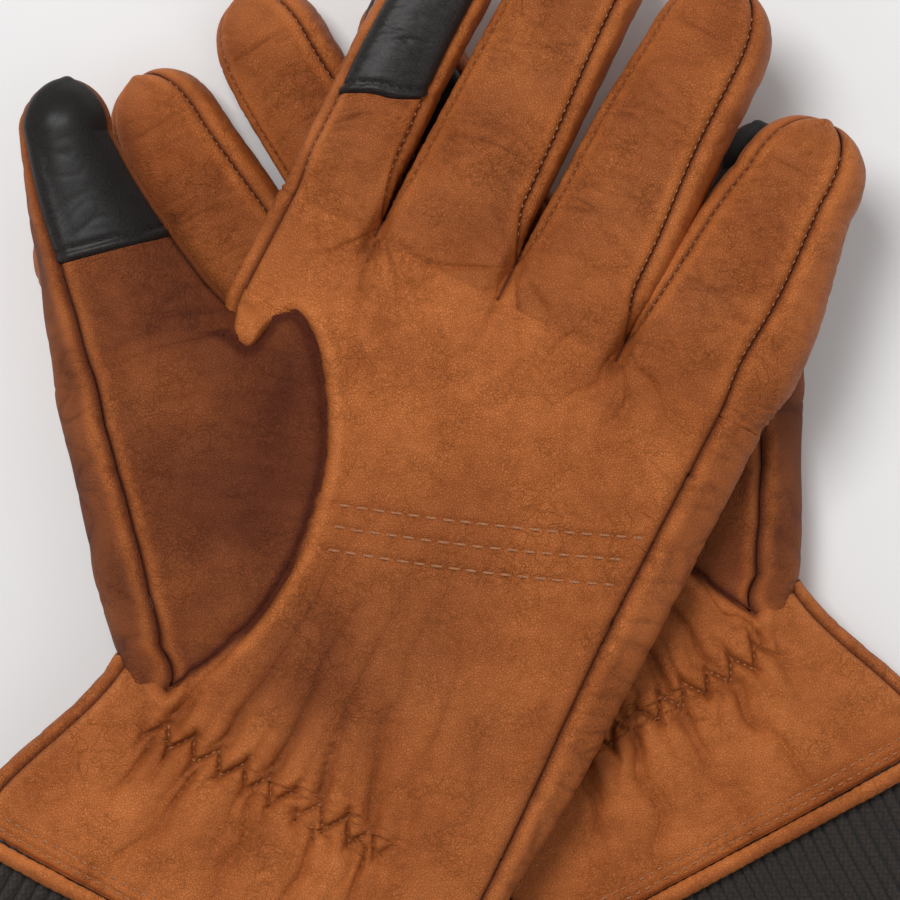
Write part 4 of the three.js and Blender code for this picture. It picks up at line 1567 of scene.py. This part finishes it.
@dataclass
class Cuff:
    """What is at the mouth of the glove: rolled hem, knitted cuff, lining and elastic.

    Attributes:
        pattern: The hand's outline.
        dresser: Makes its pieces.
        binding: Radius of the rolled hem.
        knit_from: Where the knitted cuff begins inside.
        knit_to: Where it ends.
        rib: Width of one rib.
        hem_steps: Mesh cells round the rolled hem.
        knit_steps: Mesh cells round the knitted cuff.
    """

    pattern: HandPattern
    dresser: Dresser
    binding: float = 1.75
    knit_from: float = HEM + 16
    knit_to: float = HEM - 36
    rib: float = 3.1
    hem_steps: int = 420
    knit_steps: int = 1100

    def loop(self, v: Array, inset: float, depth: float, count: int) -> Array:
        """Closed flattened loops inside the leather, one row for each v, evenly spaced."""
        turn = np.linspace(math.pi / 2, -1.5 * math.pi, 900)[None]
        held = np.maximum(v, HEM)[:, None]
        inner, outer = self.pattern.inner(held), self.pattern.outer(held)
        half = (outer - inner) / 2 - inset
        x, z = signed_power(np.cos(turn), 0.7), signed_power(np.sin(turn), 0.7)
        dense = np.stack([(inner + outer) / 2 + half * x, v[:, None] + 0 * x, depth * z + 0 * half], -1)
        return even_columns(dense, count)[0]

    def build_binding(self) -> None:
        """The rolled hem round the mouth."""
        loop = self.loop(np.array([HEM - 1.5]), 0.2, DEPTH - 0.9, self.hem_steps)[0]
        step = np.arange(self.hem_steps)
        ahead = np.gradient(loop, axis=0)
        ahead /= np.linalg.norm(ahead, axis=1, keepdims=True)
        away = np.array([0.0, -1.0, 0.0])
        up = np.cross(ahead, away)
        turn = np.linspace(0, 2 * math.pi, 19)
        swell = self.binding * (1 + 0.05 * self.pattern.noise.at(step / 9.0, 0.0 * step))
        ring = up[:, None] * np.cos(turn)[None, :, None] + away * np.sin(turn)[None, :, None]
        points = loop[:, None] + away * 0.4 + ring * swell[:, None, None]
        run = step[:, None] * 0.72
        ridge = 0.06 * np.sin(run * 2.1 + 2 * turn[None]) * (1 + 0 * turn[None])
        points = points + ring * ridge[..., None]
        # Painted shade on the underside of the roll; lighter worn colour round the rest.
        relief = np.clip(0.95 - 1.2 * np.abs(np.sin(turn / 2 + 0.25))[None] ** 6 + 0 * ridge, -1, 1)
        sheet = Sheet(points[:, ::-1], relief[:, ::-1])
        if (sheet.normals[0, 3] @ (sheet.points[0, 3] - loop[0])) < 0:
            sheet = Sheet(points, relief)
        self.dresser.piece("hem_binding", [sheet], thickness=0.7, step=3)

    def build_knit(self) -> None:
        """The rib-knitted cuff."""
        v = spaced(self.knit_from, self.knit_to, 0.45)
        points = self.loop(v, 3.6, DEPTH - 3.4, self.knit_steps)
        away = smooth((HEM - v) / 30)[:, None]
        sheet = Sheet(points[::-1])
        run = np.arange(self.knit_steps)[None] * 0.205
        row = v[::-1][:, None]
        wave = run / self.rib * 2 * math.pi + 0.5 * self.pattern.noise.at(row / 9, run / 30)
        ribs = np.abs(np.sin(wave / 2)) ** 0.7
        slope = 2.0 * np.abs(np.sin(wave / 2 + 0.8))
        rows = 0.42 * np.abs(np.sin(row * math.pi / 1.9 + slope)) * ribs
        # Painted shade in the valleys between the ribs and the rows.
        sheet.relief = np.clip(-1 + 1.1 * ribs + 1.2 * rows, -1, 0.3)
        sheet.press(ribs + rows - 0.5 * away)
        self.dresser.piece("knit_cuff", [sheet], Finish.CUFF, thickness=1.4)

    def build_lining(self, fingers: list["Finger"] | None) -> None:
        """The knitted lining of the hand, with its fingers where they are one piece."""
        v = spaced(self.knit_from + 0.5, FINGER_START - 4, 3.0)
        points = self.loop(v, 4.4, DEPTH - 6.4, 120)
        sheets = [Sheet(points)]
        for finger in fingers or []:
            sheets.append(finger_lining(finger))
        self.dresser.piece("hand_lining", sheets, Finish.LINING, thickness=1.2, step=1)

    def build_elastic(self) -> None:
        """The shirred elastic that gathers the wrist, inside the palm."""
        u, v = spaced(-22.5, 22.5, 0.4), spaced(WRIST - 3, WRIST + 3, 0.75)
        wave = 0.12 * np.sin(u * 2 * math.pi / 1.6)[None] + 0 * v[:, None]
        points = np.stack([u[None] + 0 * wave, v[:, None] + 0 * wave, 5.6 + wave], -1)
        # Painted shade in the valleys of the shirring.
        self.dresser.piece("wrist_elastic", [Sheet(points, wave * 3)], Finish.ELASTIC, thickness=0.5, step=1)


def finger_lining(finger: Finger) -> Sheet:
    """The knitted thimble inside a finger."""
    v = finger.rows(FINGER_START + 1, 4.0)[:, None]
    turn = np.linspace(math.pi / 2, -1.5 * math.pi, 40)[None]
    tube = finger.tube(turn, v + 0 * turn)
    centre = np.array([finger.pattern.centre, 0.0, 0.0])
    scale = np.array([0.66, 1.0, 0.45])
    points = centre + (tube - centre) * scale
    points[..., 1] = KNUCKLE + (points[..., 1] - KNUCKLE) * 0.94
    return Sheet(points)


@dataclass
class Glove:
    """One whole glove.

    Attributes:
        lay: How it lies.
        finishes: The materials.
        roll: Which way its fingers are turned; see Finger.
        thumb: Its thumb.
        hinge: Where the thumb's joint is, and the free thumb's direction from +v, in degrees;
            None for a glove whose fingers and thumb don't move on their own.
    """

    lay: Lay
    finishes: Finishes
    roll: int
    thumb: Thumb
    hinge: tuple[float, float, float] | None = None

    def __post_init__(self) -> None:
        """Sets up what the parts share."""
        self.pattern = self.thumb.hand
        self.dresser = Dresser(self.lay, self.finishes)
        self.fingers = [Finger(p, self.pattern, self.roll) for p in FINGERS]
        self.cuff = Cuff(self.pattern, self.dresser)

    @property
    def jointed(self) -> bool:
        """Whether the fingers and the thumb move on their own."""
        return self.hinge is not None

    def build(self) -> None:
        """Makes every piece of the glove."""
        hand = Hand(self.pattern, self.dresser)
        hand.build_walls()
        palm, back = hand.palm_sheets(), hand.back_sheets()
        fronts = {f.pattern.name: f.front() for f in self.fingers}
        backs = {f.pattern.name: f.strip(BACK_SEAM, FINGER_START, 1.0) for f in self.fingers}
        if not self.jointed:
            palm += [self.below_patch(f, fronts[f.pattern.name]) for f in self.fingers]
            back += list(backs.values())
        self.dresser.piece("palm", palm, thickness=1.6, step=2)
        self.dresser.piece("hand_back", back)
        for finger in self.fingers:
            self.build_finger(finger, fronts[finger.pattern.name], backs[finger.pattern.name])
        self.build_thumb()
        self.cuff.build_binding()
        self.cuff.build_knit()
        self.cuff.build_lining(None if self.jointed else self.fingers)
        self.cuff.build_elastic()
        self.sew_hand()

    def below_patch(self, finger: Finger, front: Sheet) -> Sheet:
        """The tan part of a finger's front."""
        if not finger.pattern.patch:
            return front
        return front.crop(slice(0, self.patch_row(finger, front) + 1))

    def patch_row(self, finger: Finger, front: Sheet) -> int:
        """The row where the touchscreen patch begins."""
        middle = front.points[:, front.points.shape[1] // 2, 1]
        return int(np.searchsorted(middle, finger.pattern.end - finger.pattern.patch))

    def bend(self, piece: bpy.types.Object, digit: str, far: bool = False) -> None:
        """Rides a piece that lies wholly beyond a digit's joint on the digit; any other piece of a jointed
        glove only has its placement baked into its mesh.

        Args:
            piece: The piece.
            digit: The finger's name, or thumb.
            far: Whether all of it lies beyond the joint.
        """
        if not self.jointed:
            return
        body = f"{self.lay.name}_{digit}"
        if far:
            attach(piece, body)
            return
        if digit == "thumb":
            u, v, turn = self.hinge
            du, dv = -math.sin(math.radians(turn)), math.cos(math.radians(turn))
            start = self.lay.metres(u + du, v + dv, 0, 0)
            end = self.lay.metres(u + 15 * du, v + 15 * dv, 0, 0)
        else:
            centre = next(p.centre for p in FINGERS if p.name == digit)
            start = self.lay.metres(centre, KNUCKLE + 1, 0)
            end = self.lay.metres(centre, KNUCKLE + 16, 0)
        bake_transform(piece)

    def build_finger(self, finger: Finger, front: Sheet, back: Sheet) -> None:
        """Makes one finger's pieces."""
        name = finger.pattern.name
        d = self.dresser
        if finger.pattern.patch:
            self.build_patch(name, front, self.patch_row(finger, front))
        if self.jointed:
            self.bend(d.piece(f"{name}_front", [self.below_patch(finger, front)], free=True), name)
            self.bend(d.piece(f"{name}_back", [back], free=True), name)
            lining = [finger_lining(finger)]
            self.bend(d.piece(f"{name}_lining", lining, Finish.LINING, step=1, free=True), name)
        starts = [root[1] - 2.5 if root else FINGER_START for root in finger.pattern.roots]
        sides = [finger.strip(FAR_SEAM, starts[1]), finger.strip(NEAR_SEAM, starts[0])]
        self.bend(d.piece(f"{name}_gusset", sides, free=self.jointed), name)
        self.sew_finger(finger, front)

    def build_patch(self, name: str, front: Sheet, row: int) -> None:
        """The dark patch at the end of a digit, with its turned lower edge."""
        patch = front.crop(slice(row, None))
        low = np.linalg.norm(patch.points - patch.points[:1], axis=-1)
        raise_by = 0.55 - 0.9 * np.exp(-low / 0.45)
        raise_by = raise_by + 0.25 * hump(low - 1.1, 0.8) - 0.3 * hump(low - 2.3, 0.7)
        close = smooth(np.linalg.norm(patch.points - patch.points[-1:], axis=-1) / 3)
        patch.press(raise_by * (0.3 + 0.7 * close))
        patch.relief = np.clip(patch.relief + 0.5 * hump(low - 1.1, 0.8), -1, 1)
        piece = self.dresser.piece(f"{name}_touch_tip", [patch], Finish.TOUCH, free=self.jointed)
        self.bend(piece, name, far=True)
        maker = MeshMaker(self.lay)
        at = int(np.argmin(np.abs(low[:, low.shape[1] // 2] - 2.6)))
        cells = slice(2, patch.points.shape[1] - 2)
        line, up = patch.points[at, cells], patch.normals[at, cells]
        along = None if patch.along is None else patch.along[at, cells]
        Stitcher(self.lay, maker, 0.34).row(line, up, 1.9, 0.55, along)
        sewn = self.dresser.settle(maker, f"{name}_patch_stitches", Finish.TOUCH, free=self.jointed)
        self.bend(sewn, name, far=True)

    def sew_finger(self, finger: Finger, front: Sheet) -> None:
        """The small stitches beside the front seams."""
        pattern = finger.pattern
        maker = MeshMaker(self.lay)
        stitcher = Stitcher(self.lay, maker, 0.26)
        for column, root in zip((2, front.points.shape[1] - 3), pattern.roots):
            v = front.points[:, column, 1]
            first = (root[1] if root else FINGER_START) + 5
            line = slice(*np.searchsorted(v, (first, pattern.end - 4)))
            stitcher.row(front.points[line, column], front.normals[line, column], 1.9, 0.5)
        sewn = self.dresser.settle(maker, f"{pattern.name}_seam_stitches", Finish.THREAD, free=self.jointed)
        self.bend(sewn, pattern.name)

    def build_thumb(self) -> None:
        """Makes the thumb's root and its free part."""
        thumb, d, free = self.thumb, self.dresser, self.jointed
        split, patch = thumb.split, thumb.patch
        front = thumb.front()
        t = thumb.front_rows()
        root, row = int(np.argmin(np.abs(t - split))), int(np.argmin(np.abs(t - patch)))
        d.piece("thumb_root_front", [front.crop(slice(0, root + 1))])
        d.piece("thumb_root_back", [thumb.back(0.0, split)])
        d.piece("thumb_root_side", [thumb.side(0.0, split)])
        self.bend(d.piece("thumb_front", [front.crop(slice(root, row + 1))], free=free), "thumb")
        self.build_patch("thumb", front, row)
        self.bend(d.piece("thumb_back", [thumb.back(split, TIP_ROW)], free=free), "thumb")
        sides = [thumb.side(split, TIP_ROW), thumb.inner_side(split)]
        self.bend(d.piece("thumb_gusset", sides, free=free), "thumb")
        self.bend(d.piece("thumb_lining", [thumb.lining()], Finish.LINING, step=1, free=free), "thumb")

    def on_palm(self, u: Array, v: Array) -> tuple[Array, Array]:
        """Points and outward directions on the palm leather."""
        e = 0.2
        z = self.pattern.face(u, v)
        du = (self.pattern.face(u + e, v) - self.pattern.face(u - e, v)) / (2 * e)
        dv = (self.pattern.face(u, v + e) - self.pattern.face(u, v - e)) / (2 * e)
        n = np.stack([-du, -dv, np.ones_like(z)], -1)
        return np.stack([u, v, z], -1), n / np.linalg.norm(n, axis=-1, keepdims=True)

    def sew_hand(self) -> None:
        """The rows across the palm, the gathered zigzag and the hem's two rows."""
        p = self.pattern
        maker = MeshMaker(self.lay)
        stitcher = Stitcher(self.lay, maker, 0.62)
        for (u0, v0), (u1, v1) in p.palm_rows:
            u = np.linspace(u0 + 1.5, u1 - 0.5, 240)
            v = np.interp(u, [u0, u1], [v0, v1]) - ROW_BOW * np.sin(np.pi * (u - u0) / (u1 - u0))
            stitcher.row(*self.on_palm(u, v), 3.5, 0.8)
        self.dresser.settle(maker, "palm_stitch_rows", Finish.THREAD)
        maker = MeshMaker(self.lay)
        k = np.arange(17)
        tooth_u = p.first_pleat + p.pleat * (k // 2 + p.pleat_fall * (k % 2))
        path = np.stack([tooth_u, WRIST + p.pleat_rise * (1 - 2 * (k % 2))], -1)
        run = run_along(path)
        at = np.linspace(0, run[-1], 500)
        u, v = np.interp(at, run, path[:, 0]), np.interp(at, run, path[:, 1])
        Stitcher(self.lay, maker, 0.5).row(*self.on_palm(u, v), 1.6, 0.66)
        self.dresser.settle(maker, "wrist_zigzag", Finish.THREAD)
        maker = MeshMaker(self.lay)
        for away in HEM_ROWS:
            v = np.full(400, HEM + away)
            u = np.linspace(p.inner(v[0]) + 3, p.far_seam(v[0]) - 1.5, len(v))
            Stitcher(self.lay, maker, 0.5).row(*self.on_palm(u, v), 2.3, 0.62)
        self.dresser.settle(maker, "hem_stitches", Finish.THREAD)


# ---- studio ----


class Studio:
    """Floor, soft light and the camera straight above the pair."""

    HEIGHT = 1.018
    LENS = 194.6

    def build(self) -> None:
        """Puts everything up."""
        self.floor()
        self.lamp("softbox", (-0.30, 0.42, 1.15), 0.44, 10.4)
        self.lamp("fill", (0.6, -0.2, 1.2), 1.2, 2.6)
        world = bpy.data.worlds.new("studio_air")
        world.use_nodes = True
        air = world.node_tree.nodes["Background"]
        air.inputs["Color"].default_value = (1.0, 1.0, 1.0, 1)
        air.inputs["Strength"].default_value = 0.36
        bpy.context.scene.world = world
        bpy.context.scene.view_settings.view_transform = "Standard"
        camera = bpy.data.cameras.new("overhead")
        camera.lens = self.LENS
        camera.sensor_width = 36
        camera.clip_end = 20
        seat = bpy.data.objects.new("overhead", camera)
        seat.location = (SHIFT[0] / 1000, SHIFT[1] / 1000, self.HEIGHT)
        bpy.context.scene.collection.objects.link(seat)
        bpy.context.scene.camera = seat

    def lamp(self, name: str, place: tuple[float, float, float], size: float, power: float) -> None:
        """A soft square lamp that faces the gloves."""
        light = bpy.data.lights.new(name, "AREA")
        light.size = size
        light.energy = power
        lamp = bpy.data.objects.new(name, light)
        lamp.location = place
        lamp.rotation_euler = Vector(place).to_track_quat("Z", "Y").to_euler()
        bpy.context.scene.collection.objects.link(lamp)

    def floor(self) -> None:
        """A wide pale floor."""
        mesh = bpy.data.meshes.new("floor")
        mesh.from_pydata([(-3, -3, 0), (3, -3, 0), (3, 3, 0), (-3, 3, 0)], [], [(0, 1, 2, 3)])
        floor = bpy.data.objects.new("floor", mesh)
        bpy.context.scene.collection.objects.link(floor)
        material = bpy.data.materials.new("floor_paper")
        material.use_nodes = True
        kit = NodeKit(material.node_tree)
        shader = material.node_tree.nodes["Principled BSDF"]
        grain = kit.new("ShaderNodeTexNoise", Scale=300.0, Detail=2.0)
        pale = kit.blend(grain.outputs[0], (0.80, 0.80, 0.80, 1), (0.82, 0.82, 0.82, 1))
        kit.feed(shader.inputs["Base Color"], pale)
        shader.inputs["Roughness"].default_value = 0.9
        mesh.materials.append(material)


def main() -> None:
    """Builds the studio and the two gloves."""
    logging.basicConfig(level=logging.INFO, format="%(name)s: %(message)s")
    Studio().build()
    finishes = Finishes()
    left_thumb = Thumb(HandPattern(LEFT.seed))
    right_thumb = Thumb(
        HandPattern(RIGHT.seed),
        outer=((-37, -71), (-42, -65), (-48, -55.5), (-53.5, -45), (-58.5, -36.5), (-63, -29.5),
               (-67, -24), (-71, -18), (-77.5, -9.5), (-84.5, -2), (-95, 9), (-104, 18.5)),
        inner=(*SET_IN, (-55.5, 7.5), (-66, 13), (-78, 20.5), (-89.5, 27)),
        seam=(0.9, -0.10, -0.38, -0.54, -0.58, -0.58, -0.60, -0.62, -0.64, -0.68, -0.74, -0.80),
        whole=False,
    )
    Glove(RIGHT, finishes, -1, right_thumb).build()
    Glove(LEFT, finishes, 1, left_thumb, (-59.8, -12.1, 47.0)).build()


if __name__ == "__main__":
    main()
